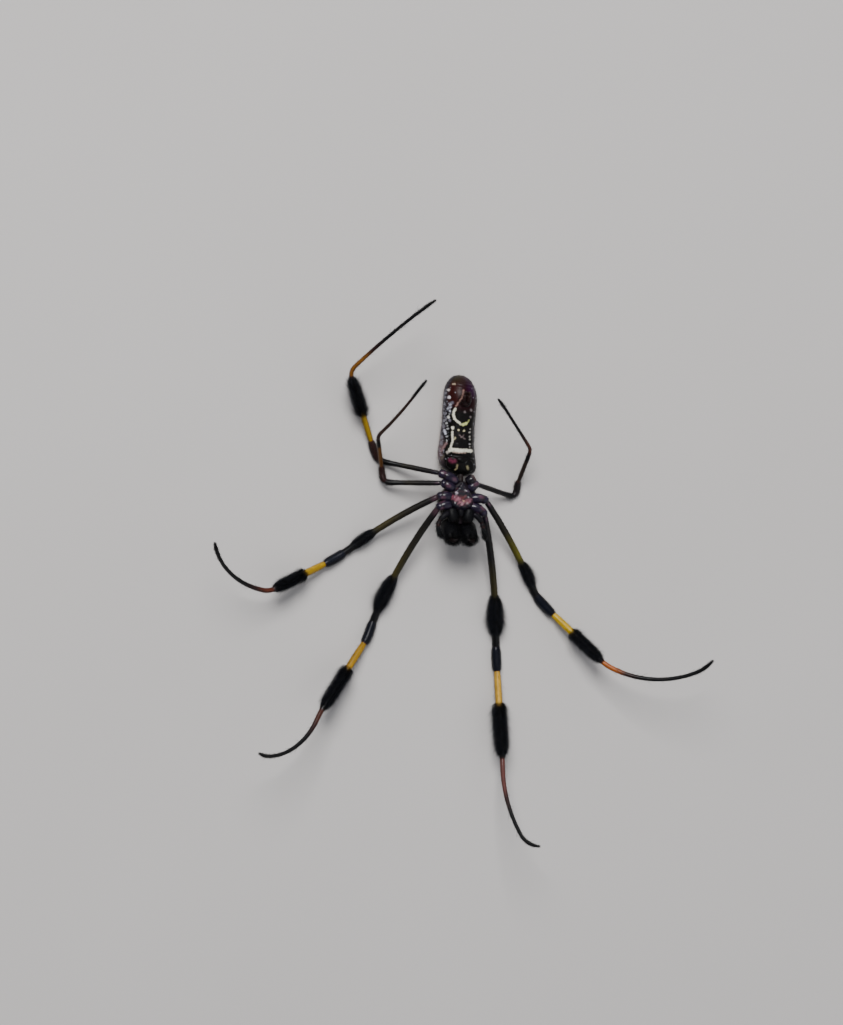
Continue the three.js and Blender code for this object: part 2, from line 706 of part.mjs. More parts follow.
function legJoint(spine, name, pair, from, length, draw) {
  const girth = GIRTHS[name];
  const thick = LEG_RADII[pair][name];
  const brush = BRUSHES[name]?.[pair];
  const core = (share) => {
    if (!brush) return 0;
    const rise = clamp((share - brush.from) / 0.04, 0, 1) * clamp((brush.to - share) / 0.04, 0, 1);
    return rise * BRUSH_CORE_SHARE * (brush.reach - thick);
  };
  const start = from + GAP / 2;
  const end = from + length - GAP / 2;
  const edges = brush ? [brush.from, brush.from + 0.04, brush.to - 0.04, brush.to] : [];
  const shares = [...spread(0, 1, RING_COUNTS[name]), ...edges].sort((a, b) => a - b);
  const apart = shares.filter((share, i) => i === 0 || share - shares[i - 1] > 0.012);
  const last = name === 'tarsus';
  const rings = apart.map((share) => lerp(start, last ? end - GAP : end, share));
  const body = sweep({
    spine,
    section: round((place) => {
      const share = (place - from) / length;
      return girth(share) * thick + core(share);
    }),
    rings: last ? [...rings, end] : rings,
    sides: LEG_SIDES,
    rounded: [false, last],
  });
  if (!brush) return body;
  return join([body, ...brushLocks(spine, from, length, brush, thick, draw)]);
}

// Coxa and trochanter: a stout joint that narrows to a waist and swells again before the femur
function coxaShape(side, pair, ahead) {
  const [across, along, height] = COXA_ROOTS[pair];
  const root = inFrontBody(sideSign(side) * across, along, height);
  const hip = hipOf(side, pair);
  const reach = root.distanceTo(hip);
  const bend = hip.clone().addScaledVector(ahead, -0.4 * reach);
  const spine = new Spine(new THREE.QuadraticBezierCurve3(root, bend, hip).getSpacedPoints(24), UP);
  const girth = graded([0, 0.8], [0.3, 1], [0.58, 0.95], [0.7, 0.72], [0.82, 0.84], [1, 0.66]);
  return {
    spine,
    section: round((place) => girth(place / spine.length) * COXA_RADIUS),
    rings: [0, 0.3, 0.56, 0.7, 0.84, 1].map((share) => share * (spine.length - GAP / 2)),
    sides: 8,
    rounded: [false, false],
  };
}

// The fourth right leg is lost: its coxa ends in a rounded scar
const STUMP_TIP = [2.5, 0.35, 6.4];
function stumpShape() {
  const spine = straightSpine(inFrontBody(...COXA_ROOTS[4]), inFrontBody(...STUMP_TIP), UP);
  const girth = graded([0, 0.8], [0.4, 1], [0.75, 0.95], [0.92, 0.7], [1, 0.4]);
  return {
    spine,
    section: round((place) => girth(place / spine.length) * COXA_RADIUS),
    rings: [0, 0.3, 0.6, 0.8, 0.93, 1, 1.03].map((share) => share * spine.length),
    sides: 8,
    rounded: [false, true],
  };
}

// Scene graph
const spider = new THREE.Group();
spider.name = 'golden_silk_orb_weaver';

function addNode(group, name, finish, solid, pivot) {
  const body = finished(solid);
  const { vertProperties, triVerts } = body.getMesh();
  const geometry = new THREE.BufferGeometry();
  geometry.setAttribute('position', new THREE.BufferAttribute(new Float32Array(vertProperties), 3));
  geometry.setIndex(new THREE.BufferAttribute(new Uint32Array(triVerts), 1));
  geometry.translate(-pivot.x, -pivot.y, -pivot.z);
  geometry.computeVertexNormals();
  const [color, roughness] = COLOURS[finish];
  const material = new THREE.MeshStandardMaterial({ color, roughness, metalness: 0 });
  const mesh = new THREE.Mesh(geometry, material);
  mesh.name = name;
  mesh.position.copy(pivot);
  group.add(mesh);
}

function addGroup(name) {
  const group = new THREE.Group();
  group.name = name;
  spider.add(group);
  return group;
}

const SIDES = ['left', 'right'];
const PAIRS = [1, 2, 3, 4];

function buildFrontBody(group) {
  const cutters = [];
  const place = (name, finish, shape, extras = [], trim = (solid) => solid) => {
    const solid = trim(cut(join([sweep(shape), ...extras]), cutters));
    addNode(group, name, finish, solid, shape.spine.at(0).point);
    cutters.push(sweep(shape, GAP));
  };
  place('carapace', 'carapace', carapaceShape, [...eyes(), ...horns()]);
  place('sternum', 'plate', sternumShape, sternumHumps());
  for (const side of SIDES) {
    const sign = sideSign(side);
    place(`chelicera_${side}`, 'jaw', cheliceraShape(sign), [], (solid) => besideMidline(solid, sign));
  }
  for (const side of SIDES) place(`fang_${side}`, 'fang', fangShape(sideSign(side)));
  for (const side of SIDES) place(`maxilla_${side}`, 'mouthpart', maxillaShape(sideSign(side)));
  place('labium', 'mouthpart', labiumShape);
  for (const side of SIDES) place(`palp_${side}`, 'mouthpart', palpShape(sideSign(side)));
  return cutters;
}

function buildCoxa(group, name, finish, shape, cutters) {
  addNode(group, name, finish, cut(sweep(shape), cutters), shape.spine.at(0).point);
  cutters.push(sweep(shape, GAP));
}

function buildLeg(side, pair, cutters) {
  const name = `leg_${side}_${pair}`;
  const group = addGroup(name);
  if (!(`${side}_${pair}` in POSES)) {
    buildCoxa(group, `${name}_coxa`, 'stump', stumpShape(), cutters);
    return;
  }
  const spine = settledLegSpine(side, pair);
  const lengths = lengthsOf(side, pair);
  buildCoxa(group, `${name}_coxa`, 'coxa', coxaShape(side, pair, spine.at(0).ahead), cutters);
  let from = 0;
  JOINTS.forEach((joint, i) => {
    const draw = makeDraw(1 + 97 * pair + 13 * i + (side === 'left' ? 0 : 7));
    const solid = legJoint(spine, joint, pair, from, lengths[joint], draw);
    addNode(group, `${name}_${joint}`, joint, solid, spine.at(from).point);
    from += lengths[joint];
  });
}

function buildRearBody(group, cutters) {
  const front = abdomenShape.spine.at(0).point;
  addNode(group, 'abdomen', 'abdomen', sweep(abdomenShape), front);
  const cluster = cut(spinnerets(), [sweep(abdomenShape, GAP)]);
  addNode(group, 'spinnerets', 'spinneret', cluster, SPINNERET_CENTRE);
  addNode(group, 'pedicel', 'coxa', cut(sweep(pedicelShape), cutters), pedicelShape.spine.at(0).point);
}

const abdomenCutters = [sweep(abdomenShape, GAP)];
const cutters = [...abdomenCutters, ...buildFrontBody(addGroup('front_body'))];
for (const side of SIDES) PAIRS.forEach((pair) => buildLeg(side, pair, cutters));
buildRearBody(addGroup('rear_body'), cutters);

// The origin is on the floor, under the middle of the spider's box
const box = new THREE.Box3().setFromObject(spider);
const middle = box.getCenter(new THREE.Vector3());
spider.position.set(-middle.x, -middle.y, -box.min.z);

export default spider;
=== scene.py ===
"""Female golden silk orb weaver: skins, eyes, claws, coats, floor, light and camera.

Shapes are modelled in the body's own millimetres, with the sizes that the solids have, and each
finished piece is then moved to the row frame, in metres. The belly faces +Z, the head points to
-Y, and the spider's right side is +X.
"""

from __future__ import annotations

import logging
import math
from dataclasses import dataclass, field
from enum import Enum
from typing import Callable, Iterable, Sequence

import bpy
import numpy as np
from mathutils import Matrix, Vector


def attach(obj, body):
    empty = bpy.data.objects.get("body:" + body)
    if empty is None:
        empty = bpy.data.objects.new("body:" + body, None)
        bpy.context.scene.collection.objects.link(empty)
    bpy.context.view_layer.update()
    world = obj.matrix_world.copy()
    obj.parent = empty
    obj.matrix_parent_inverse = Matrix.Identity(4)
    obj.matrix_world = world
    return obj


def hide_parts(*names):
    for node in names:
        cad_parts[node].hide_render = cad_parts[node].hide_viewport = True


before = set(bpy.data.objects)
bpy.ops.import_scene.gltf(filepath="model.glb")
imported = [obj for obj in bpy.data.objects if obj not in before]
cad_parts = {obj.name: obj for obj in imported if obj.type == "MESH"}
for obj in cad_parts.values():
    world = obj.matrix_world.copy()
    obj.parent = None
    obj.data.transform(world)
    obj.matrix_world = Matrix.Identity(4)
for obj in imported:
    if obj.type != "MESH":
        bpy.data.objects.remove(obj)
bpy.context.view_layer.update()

LOG = logging.getLogger("orb_weaver")
MM = 0.001
BODY_SHIFT = Vector((-1.14, 17.526, 0.0))
FLOOR_CLEARANCE = 0.012
Points = np.ndarray
Colour = tuple[float, float, float]
Piece = bpy.types.Object
Material = bpy.types.Material
NodeTree = bpy.types.NodeTree
Socket = bpy.types.NodeSocket


class Side(Enum):
    """The two sides of the body, with the sign of their X."""

    LEFT = -1
    RIGHT = 1

    @property
    def word(self) -> str:
        """The side's word in node names."""
        return self.name.lower()


class Joint(Enum):
    """The joints of a leg beyond its coxa, in order."""

    FEMUR = "femur"
    PATELLA = "patella"
    TIBIA = "tibia"
    METATARSUS = "metatarsus"
    TARSUS = "tarsus"


# How the body lies and how the picture shows it
BODY_TURN = math.radians(5)
VIEW_TILT = math.radians(14)
VIEW_ROLL = math.radians(8)
VIEW_STEP = 0.19
STERNUM_CENTRE = (0.0, -3.5, 7.5)
UP = np.array([0.0, 0.0, 1.0])
REAR = np.array([0.0, 1.0, 0.0])


def in_front_body(across: float, along: float, height: float) -> Points:
    """Place in the front body, which lies turned a little.

    Args:
        across: millimetres to the spider's right, before the turn.
        along: millimetres to the rear, before the turn.
        height: millimetres above the floor.

    Returns:
        The place in the body frame.
    """
    dy = along - STERNUM_CENTRE[1]
    x = across * math.cos(BODY_TURN) - dy * math.sin(BODY_TURN)
    y = STERNUM_CENTRE[1] + across * math.sin(BODY_TURN) + dy * math.cos(BODY_TURN)
    return np.array([x, y, height])


def view_axes() -> tuple[Points, Points, Points]:
    """Right, up and outward directions of the picture, for a camera turned with the spider."""
    right = np.array([math.cos(VIEW_TILT), 0, math.sin(VIEW_TILT)])
    out = np.array([-math.sin(VIEW_TILT), 0, math.cos(VIEW_TILT)])
    across = right * math.cos(VIEW_ROLL) + REAR * math.sin(VIEW_ROLL)
    upward = REAR * math.cos(VIEW_ROLL) - right * math.sin(VIEW_ROLL)
    return across, upward, out


def as_seen(points: Points) -> tuple[Points, Points]:
    """Millimetres to the right of and above the sternum's centre, as the camera sees them."""
    away = points - np.asarray(STERNUM_CENTRE)
    across, upward, _ = view_axes()
    return away @ across, away @ upward


def graded(*stations: tuple[float, float]) -> Callable[[Points], Points]:
    """Smooth curve through stations, each a place and a value.

    Args:
        stations: pairs of place and value, in order of place.

    Returns:
        A function from places to values.
    """
    x = np.array([station[0] for station in stations], float)
    y = np.array([station[1] for station in stations], float)

    def value(place: Points) -> Points:
        """The curve's value at each place."""
        at = np.clip(np.asarray(place, float), x[0], x[-1])
        i = np.clip(np.searchsorted(x, at, side="right") - 1, 0, len(x) - 2)
        before, after = np.maximum(i - 1, 0), np.minimum(i + 2, len(x) - 1)
        span = x[i + 1] - x[i]
        slope_in = (y[i + 1] - y[before]) / (x[i + 1] - x[before]) * span
        slope_out = (y[after] - y[i]) / (x[after] - x[i]) * span
        t = (at - x[i]) / span
        return (
            (2 * t**3 - 3 * t**2 + 1) * y[i]
            + (t**3 - 2 * t**2 + t) * slope_in
            + (3 * t**2 - 2 * t**3) * y[i + 1]
            + (t**3 - t**2) * slope_out
        )

    return value


def ramp(place: Points, stations: Sequence[tuple[float, Colour]]) -> Points:
    """Colours along a piece, mixed evenly between stations.

    Args:
        place: the places to colour.
        stations: pairs of place and colour, in order of place.

    Returns:
        One colour for each place.
    """
    marks = [station[0] for station in stations]
    channels = np.array([station[1] for station in stations], float).T
    return np.stack([np.interp(place, marks, channel) for channel in channels], -1)


def unit(vectors: Points) -> Points:
    """Vectors of length one with the same directions."""
    return vectors / np.maximum(np.linalg.norm(vectors, axis=-1, keepdims=True), 1e-12)


def mixed(base: Points | Colour, over: Points | Colour, share: Points) -> Points:
    """Base colours with another colour laid over them by a share."""
    weight = np.clip(share, 0, 1)[..., None]
    return np.asarray(base, float) * (1 - weight) + np.asarray(over, float) * weight


def soft_step(value: Points, low: float, high: float) -> Points:
    """Smooth rise from 0 at low to 1 at high."""
    t = np.clip((value - low) / (high - low), 0, 1)
    return t * t * (3 - 2 * t)


class Spine:
    """A centre line with its direction at every place along it."""

    def __init__(self, points: Iterable[Sequence[float]]) -> None:
        """Measures the line through the points."""
        self.points = np.array(list(points), float)
        steps = np.linalg.norm(np.diff(self.points, axis=0), axis=1)
        self.marks = np.concatenate([[0.0], np.cumsum(steps)])
        self.aheads = unit(np.gradient(self.points, axis=0))

    @property
    def length(self) -> float:
        """Length of the whole line."""
        return float(self.marks[-1])

    def at(self, place: Points) -> tuple[Points, Points]:
        """Points and directions at places along the line."""
        point = np.stack([np.interp(place, self.marks, c) for c in self.points.T], -1)
        ahead = np.stack([np.interp(place, self.marks, c) for c in self.aheads.T], -1)
        return point, unit(ahead)

    @staticmethod
    def through(knots: Sequence[Sequence[float]], steps: int) -> Spine:
        """Smooth line through a few knots."""
        marks = np.linspace(0, 1, len(knots))
        curves = [graded(*zip(marks, axis)) for axis in np.array(knots, float).T]
        share = np.linspace(0, 1, steps + 1)
        return Spine(np.stack([curve(share) for curve in curves], -1))


# Modelling


@dataclass(frozen=True)
class Ring:
    """One ring of a grown shape: its place along X, its half sizes and its shift."""

    place: float
    side: float
    rise: float
    side_shift: float = 0.0
    rise_shift: float = 0.0

    @property
    def centre(self) -> Vector:
        """The middle of the ring."""
        return Vector((self.place, self.side_shift, self.rise_shift))


def round_rings(
    profile: Iterable[tuple[float, float]], length: float = 1.0, girth: float = 1.0
) -> list[Ring]:
    """Round rings from pairs of place and radius, each with its own scale."""
    return [Ring(x * length, float(r) * girth, float(r) * girth) for x, r in profile]


class Bench:
    """Modelling steps that the pieces share, done with Blender's own operators."""

    @staticmethod
    def take(piece: Piece | None = None) -> None:
        """Deselects everything, then selects the piece, if one is given."""
        if bpy.context.mode != "OBJECT":
            bpy.ops.object.mode_set(mode="OBJECT")
        bpy.ops.object.select_all(action="DESELECT")
        if piece is not None:
            piece.select_set(True)
            bpy.context.view_layer.objects.active = piece

    @staticmethod
    def grow(name: str, rings: Sequence[Ring], sides: int, levels: int) -> Piece:
        """Extrudes a closed shape ring by ring along X, and smooths it.

        Args:
            name: the piece's name.
            rings: the rings, from the start of the shape to its end.
            sides: corners of each ring.
            levels: levels of subdivision.

        Returns:
            The new piece.
        """
        Bench.take()
        fit = 6 / (4 + 2 * math.cos(2 * math.pi / sides))
        first = rings[0]
        bpy.ops.mesh.primitive_circle_add(
            vertices=sides, radius=1.0, fill_type="NGON",
            location=first.centre, rotation=(0, math.pi / 2, 0),
        )
        piece = bpy.context.object
        piece.name = piece.data.name = name
        bpy.ops.object.transform_apply(location=True, rotation=True, scale=True)
        bpy.ops.object.mode_set(mode="EDIT")
        bpy.ops.mesh.select_all(action="SELECT")
        size = (1.0, first.side * fit, first.rise * fit)
        bpy.ops.transform.resize(value=size, center_override=first.centre)
        for before, ring in zip(rings, rings[1:]):
            move = {"value": ring.centre - before.centre}
            bpy.ops.mesh.extrude_region_move(TRANSFORM_OT_translate=move)
            size = (1.0, ring.side / before.side, ring.rise / before.rise)
            bpy.ops.transform.resize(value=size, center_override=ring.centre)
        bpy.ops.mesh.select_all(action="SELECT")
        bpy.ops.mesh.normals_make_consistent(inside=False)
        bpy.ops.object.mode_set(mode="OBJECT")
        Bench.order(piece)
        Bench.refine(piece, levels)
        return piece

    @staticmethod
    def order(piece: Piece) -> None:
        """Gives corners and faces one fixed order, so that hair roots are the same in each run."""
        points = coordinates(piece)
        by_place = np.lexsort(points.T)
        rank = by_place.argsort().tolist()
        faces = []
        for polygon in piece.data.polygons:
            corners = [rank[corner] for corner in polygon.vertices]
            first = corners.index(min(corners))
            faces.append(corners[first:] + corners[:first])
        piece.data.clear_geometry()
        piece.data.from_pydata(points[by_place].tolist(), [], sorted(faces))

    @staticmethod
    def refine(piece: Piece, levels: int) -> None:
        """Smooths a piece with subdivision that is applied."""
        Bench.take(piece)
        smooth = piece.modifiers.new("smooth", "SUBSURF")
        smooth.levels = smooth.render_levels = levels
        bpy.ops.object.modifier_apply(modifier=smooth.name)
        bpy.ops.object.shade_smooth()

    @staticmethod
    def bend(piece: Piece, spine: Spine) -> None:
        """Bends a straight piece along a spine with a curve modifier that is applied."""
        line = bpy.data.curves.new("spine", "CURVE")
        line.dimensions = "3D"
        line.twist_mode = "Z_UP"
        strand = line.splines.new("POLY")
        strand.points.add(len(spine.points) - 1)
        for knot, point in zip(strand.points, spine.points):
            knot.co = (*point, 1.0)
        guide = bpy.data.objects.new("spine", line)
        bpy.context.scene.collection.objects.link(guide)
        Bench.take(piece)
        bending = piece.modifiers.new("bend", "CURVE")
        bending.object = guide
        bending.deform_axis = "POS_X"
        bpy.ops.object.modifier_apply(modifier=bending.name)
        bpy.data.objects.remove(guide)
        bpy.data.curves.remove(line)

    @staticmethod
    def seat(piece: Piece, matrix: Matrix) -> Piece:
        """Moves a piece by a matrix that is applied to its mesh, and hands it back."""
        Bench.take(piece)
        piece.matrix_world = matrix
        bpy.ops.object.transform_apply(location=True, rotation=True, scale=True)
        return piece

    @staticmethod
    def join(pieces: Sequence[Piece], name: str) -> Piece:
        """Joins pieces into one object with the given name."""
        Bench.take()
        for piece in pieces:
            piece.select_set(True)
        bpy.context.view_layer.objects.active = pieces[0]
        bpy.ops.object.join()
        pieces[0].name = pieces[0].data.name = name
        return pieces[0]

    @staticmethod
    def copy(piece: Piece, matrix: Matrix) -> Piece:
        """A copy with its own mesh, moved by a matrix."""
        twin = piece.copy()
        twin.data = piece.data.copy()
        bpy.context.scene.collection.objects.link(twin)
        return Bench.seat(twin, matrix)


def axes(ahead: Sequence[float], up: Sequence[float], origin: Sequence[float]) -> Matrix:
    """Matrix that lays X along ahead, Z near up, and starts at the origin given."""
    x = unit(np.asarray(ahead, float))
    z = np.asarray(up, float)
    z = unit(z - x * (z @ x))
    y = np.cross(z, x)
    matrix = Matrix(np.stack([x, y, z], 1)).to_4x4()
    matrix.translation = Vector(origin)
    return matrix


def coordinates(piece: Piece) -> Points:
    """The piece's vertices as an array."""
    flat = np.zeros(len(piece.data.vertices) * 3, np.float32)
    piece.data.vertices.foreach_get("co", flat)
    return flat.reshape(-1, 3).astype(float)


def unwrapped(piece: Piece) -> tuple[Points, Points]:
    """Places along a piece that is still straight, and turns round it."""
    x, y, z = coordinates(piece).T
    return x, np.arctan2(z, -y)


def move_vertices(piece: Piece, points: Points) -> None:
    """Gives the piece's vertices new places."""
    piece.data.vertices.foreach_set("co", points.astype(np.float32).ravel())
    piece.data.update()


def vertex_normals(piece: Piece) -> Points:
    """The piece's vertex normals as an array."""
    flat = np.zeros(len(piece.data.vertices) * 3, np.float32)
    piece.data.vertex_normals.foreach_get("vector", flat)
    return flat.reshape(-1, 3).astype(float)


def give_tint(piece: Piece, tint: Points | Colour) -> None:
    """Stores a colour for each vertex, or for all, in the attribute that the finishes read."""
    mesh = piece.data
    layer = mesh.attributes.get("tint") or mesh.attributes.new("tint", "FLOAT_COLOR", "POINT")
    rgba = np.ones((len(mesh.vertices), 4), np.float32)
    rgba[:, :3] = np.clip(tint, 0, 1)
    layer.data.foreach_set("color", rgba.ravel())


def give_shine(piece: Piece, shine: Points) -> None:
    """Stores how glossy each vertex is, from 0 to 1, in the attribute that the finishes read."""
    layer = piece.data.attributes.new("shine", "FLOAT", "POINT")
    layer.data.foreach_set("value", np.asarray(shine, np.float32))


def present(piece: Piece, finish: Material, slot: str, *nodes: str) -> None:
    """Args:
        piece: the piece, in body millimetres.
        finish: its material.
        slot: not used.
        nodes: the CAD nodes that it stands for.
    """
    points = coordinates(piece)
    points[:, 2] = np.maximum(points[:, 2], FLOOR_CLEARANCE)
    move_vertices(piece, points)
    Bench.seat(piece, Matrix.Scale(MM, 4) @ Matrix.Translation(BODY_SHIFT))
    piece.data.materials.clear()
    piece.data.materials.append(finish)
    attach(piece, "root")
    if nodes:
        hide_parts(*nodes)
    faces = sum(len(polygon.vertices) - 2 for polygon in piece.data.polygons)
    LOG.info("%s: %d triangles", piece.name, faces)


@dataclass
class Skin:
    """A finished skin and what its coat needs: places along it, turns round it and colours."""

    piece: Piece
    along: Points
    turn: Points
    points: Points = field(init=False)
    normals: Points = field(init=False)
    tint: Points = field(init=False)

    def __post_init__(self) -> None:
        """Reads the shape from the piece."""
        self.measure()
        self.tint = np.zeros_like(self.points)

    def measure(self) -> None:
        """Reads points and normals from the piece as it now is."""
        self.points = coordinates(self.piece)
        self.normals = vertex_normals(self.piece)

    def swell(self, heights: Points) -> None:
        """Moves the surface out along its normals, by millimetres."""
        move_vertices(self.piece, self.points + self.normals * heights[:, None])
        self.measure()

    def paint(self, tint: Points) -> None:
        """Keeps the colours and stores them on the piece."""
        self.tint = np.clip(tint, 0, 1)
        give_tint(self.piece, self.tint)

    def scatter(self, per_mm2: Points | float, seed: int) -> Roots:
        """Strews hair roots over the skin, by area.

        Args:
            per_mm2: how many roots a square millimetre gets, at each vertex or everywhere.
            seed: seed of the random draw.

        Returns:
            The roots.
        """
        rng = np.random.default_rng(seed)
        mesh = self.piece.data
        mesh.calc_loop_triangles()
        flat = np.zeros(len(mesh.loop_triangles) * 3, np.int32)
        mesh.loop_triangles.foreach_get("vertices", flat)
        corners = flat.reshape(-1, 3)
        a, b, c = (self.points[corners[:, k]] for k in range(3))
        area = np.linalg.norm(np.cross(b - a, c - a), axis=1) / 2
        density = np.broadcast_to(np.asarray(per_mm2, float), len(self.points))
        expected = area * density[corners].mean(1)
        counts = np.floor(expected + rng.random(len(expected))).astype(int)
        pick = np.repeat(np.arange(len(corners)), counts)
        weights = rng.dirichlet((1.0, 1.0, 1.0), len(pick))
        chosen = corners[pick]
        nearest = chosen[np.arange(len(pick)), weights.argmax(1)]
        return Roots(
            points=(self.points[chosen] * weights[..., None]).sum(1),
            normals=unit((self.normals[chosen] * weights[..., None]).sum(1)),
            along=self.along[nearest],
            turn=self.turn[nearest],
            tint=self.tint[nearest],
        )


@dataclass
class Roots:
    """Where hairs grow: points, surface normals, places on the skin's unwrap and colours."""

    points: Points
    normals: Points
    along: Points
    turn: Points
    tint: Points


@dataclass(frozen=True)
class HairKind:
    """One kind of hair: sizes in millimetres, angles above the skin in degrees."""

    length: float
    width: float
    rise: float
    tip_rise: float
    stray: float = 0.25
    unevenness: float = 0.25
    clumping: float = 0.0


LEG_HAIR = HairKind(0.42, 0.02, 30, 20, 0.3, 0.35)
LEG_SPINE = HairKind(1.15, 0.05, 38, 28, 0.15, 0.3)
CLAW_TUFT = HairKind(0.42, 0.026, 38, 24, 0.3, 0.3)
STUMP_HAIR = HairKind(0.4, 0.02, 36, 24)
SILVER_DOWN = HairKind(0.5, 0.032, 12, 4, 0.35, 0.3, 0.3)
UPRIGHT_HAIR = HairKind(0.75, 0.024, 62, 48, 0.4)
STERNUM_HAIR = HairKind(0.5, 0.02, 40, 26, 0.4)
JAW_BRISTLE = HairKind(0.8, 0.03, 28, 16, 0.35, 0.4)
JAW_RIM = HairKind(0.85, 0.038, 46, 26, 0.3, 0.45)
JAW_COMB = HairKind(1.25, 0.07, 42, 30, 0.3, 0.3)
MOUTH_FRINGE = HairKind(0.8, 0.028, 42, 20, 0.3)
MOUTH_HAIR = HairKind(0.6, 0.024, 36, 24, 0.35)
PALP_HAIR = HairKind(0.65, 0.026, 36, 22, 0.3)
ABDOMEN_HAIR = HairKind(0.34, 0.018, 22, 10, 0.35)
ABDOMEN_BRISTLE = HairKind(0.6, 0.02, 48, 34, 0.35)
SPINNERET_HAIR = HairKind(0.36, 0.02, 30, 40, 0.4)


class Coat:
    """Many thin tapered hairs gathered into one solid mesh piece.

    Each hair has three corners at its root, three at its middle and one at its tip. PATCH is its
    size on the map, MAP_EDGE and MAP_SPAN keep the patches inside the map, and SHADES make a hair
    paler towards its tip.
    """

    PATCH = 0.0015
    MAP_EDGE, MAP_SPAN = 0.003, 0.994
    ROOT_DEPTH = 0.03
    SWAY_DEGREES = 9
    WIDTHS = (1.0, 0.72)
    SHADES = np.array([0.75, 0.75, 0.75, 1.0, 1.0, 1.0, 1.12])
    CORNERS = 7
    FACES = np.array([
        [0, 2, 1], [0, 1, 4], [0, 4, 3], [1, 2, 5], [1, 5, 4],
        [2, 0, 3], [2, 3, 5], [3, 4, 6], [4, 5, 6], [5, 3, 6],
    ])

    def __init__(self, name: str) -> None:
        """Starts an empty coat."""
        self.name = name
        self.vertices: list[Points] = []
        self.patches: list[Points] = []
        self.tints: list[Points] = []

    def comb(
        self, roots: Roots, lie: Points, kind: HairKind, tint: Points | Colour, seed: int,
        scale: Points | float = 1.0, lean: Points | float = 0.0,
    ) -> None:
        """Adds one hair on each root.

        Args:
            roots: where the hairs grow.
            lie: the direction that each leans to, or that all do.
            kind: the hairs' sizes.
            tint: the colour of each hair, or of all.
            seed: seed of the random draw.
            scale: factor on the length, for each hair or for all.
            lean: degrees added to the rise above the skin, for each hair or for all.
        """
        rng = np.random.default_rng(seed)
        count = len(roots.points)
        normal = roots.normals
        lie = np.broadcast_to(lie, normal.shape)
        flat = unit(lie - normal * (lie * normal).sum(1, keepdims=True))
        across = np.cross(normal, flat)
        wave = np.sin(3.1 * roots.along + 2.0 * np.sin(2 * roots.turn)) * np.cos(5 * roots.turn)
        swerve = kind.stray * rng.normal(size=count) + kind.clumping * wave
        flat = unit(flat + across * swerve[:, None])
        across = np.cross(normal, flat)
        jitter = self.SWAY_DEGREES * rng.normal(size=count) * (0.4 + kind.stray) + lean
        low, high = np.radians(kind.rise + jitter), np.radians(kind.tip_rise + jitter)
        first = np.cos(low)[:, None] * flat + np.sin(low)[:, None] * normal
        second = np.cos(high)[:, None] * flat + np.sin(high)[:, None] * normal
        length = kind.length * scale * (1 + kind.unevenness * rng.uniform(-1, 1, count))
        length = np.broadcast_to(length, count)[:, None]
        root = roots.points - self.ROOT_DEPTH * normal
        middle = root + first * length * 0.5
        tip = middle + second * length * 0.5
        depth = np.cross(first, across)
        width = kind.width * rng.uniform(0.8, 1.2, count)[:, None] / 2
        rings = []
        for centre, share in zip((root, middle), self.WIDTHS):
            for corner in range(3):
                angle = 2 * math.pi * corner / 3
                out = math.cos(angle) * across + math.sin(angle) * depth
                rings.append(centre + out * width * share)
        hairs = np.stack([*rings, tip], 1)
        hairs[..., 2] = np.maximum(hairs[..., 2], FLOOR_CLEARANCE)
        self.vertices.append(hairs)
        self.patches.append(np.stack([(roots.turn / (2 * math.pi)) % 1, roots.along], 1))
        colours = np.broadcast_to(tint, (count, 3))[:, None, :] * self.SHADES[None, :, None]
        self.tints.append(colours * rng.uniform(0.85, 1.15, count)[:, None, None])

    def make(self) -> Piece:
        """Builds the mesh with its colours and its map.

        Returns:
            The coat as one piece, in body millimetres.
        """
        hairs = np.concatenate(self.vertices)
        count = len(hairs)
        faces = (self.FACES[None] + self.CORNERS * np.arange(count)[:, None, None]).reshape(-1, 3)
        mesh = bpy.data.meshes.new(self.name)
        mesh.vertices.add(count * self.CORNERS)
        mesh.loops.add(faces.size)
        mesh.polygons.add(len(faces))
        mesh.vertices.foreach_set("co", hairs.astype(np.float32).ravel())
        mesh.loops.foreach_set("vertex_index", faces.astype(np.int32).ravel())
        mesh.polygons.foreach_set("loop_start", np.arange(0, faces.size, 3, dtype=np.int32))
        mesh.update(calc_edges=True)
        places = np.concatenate(self.patches)
        low, high = places[:, 1].min(), places[:, 1].max()
        places[:, 1] = (places[:, 1] - low) / max(high - low, 1e-6)
        places = self.MAP_EDGE + self.MAP_SPAN * places
        turn = np.radians([90, 210, 330, 30, 150, 270])
        corners = np.zeros((self.CORNERS, 2))
        corners[:6] = np.stack([np.cos(turn), np.sin(turn)], 1) * self.PATCH
        corners[3:6] *= 0.5
        chart = (places[:, None, :] + corners[None]).reshape(-1, 2)
        layer = mesh.uv_layers.new(name="OFBake")
        layer.data.foreach_set("uv", chart[faces.ravel()].astype(np.float32).ravel())
        piece = bpy.data.objects.new(self.name, mesh)
        bpy.context.scene.collection.objects.link(piece)
        give_tint(piece, np.concatenate(self.tints).reshape(-1, 3))
        return piece


# Finishes


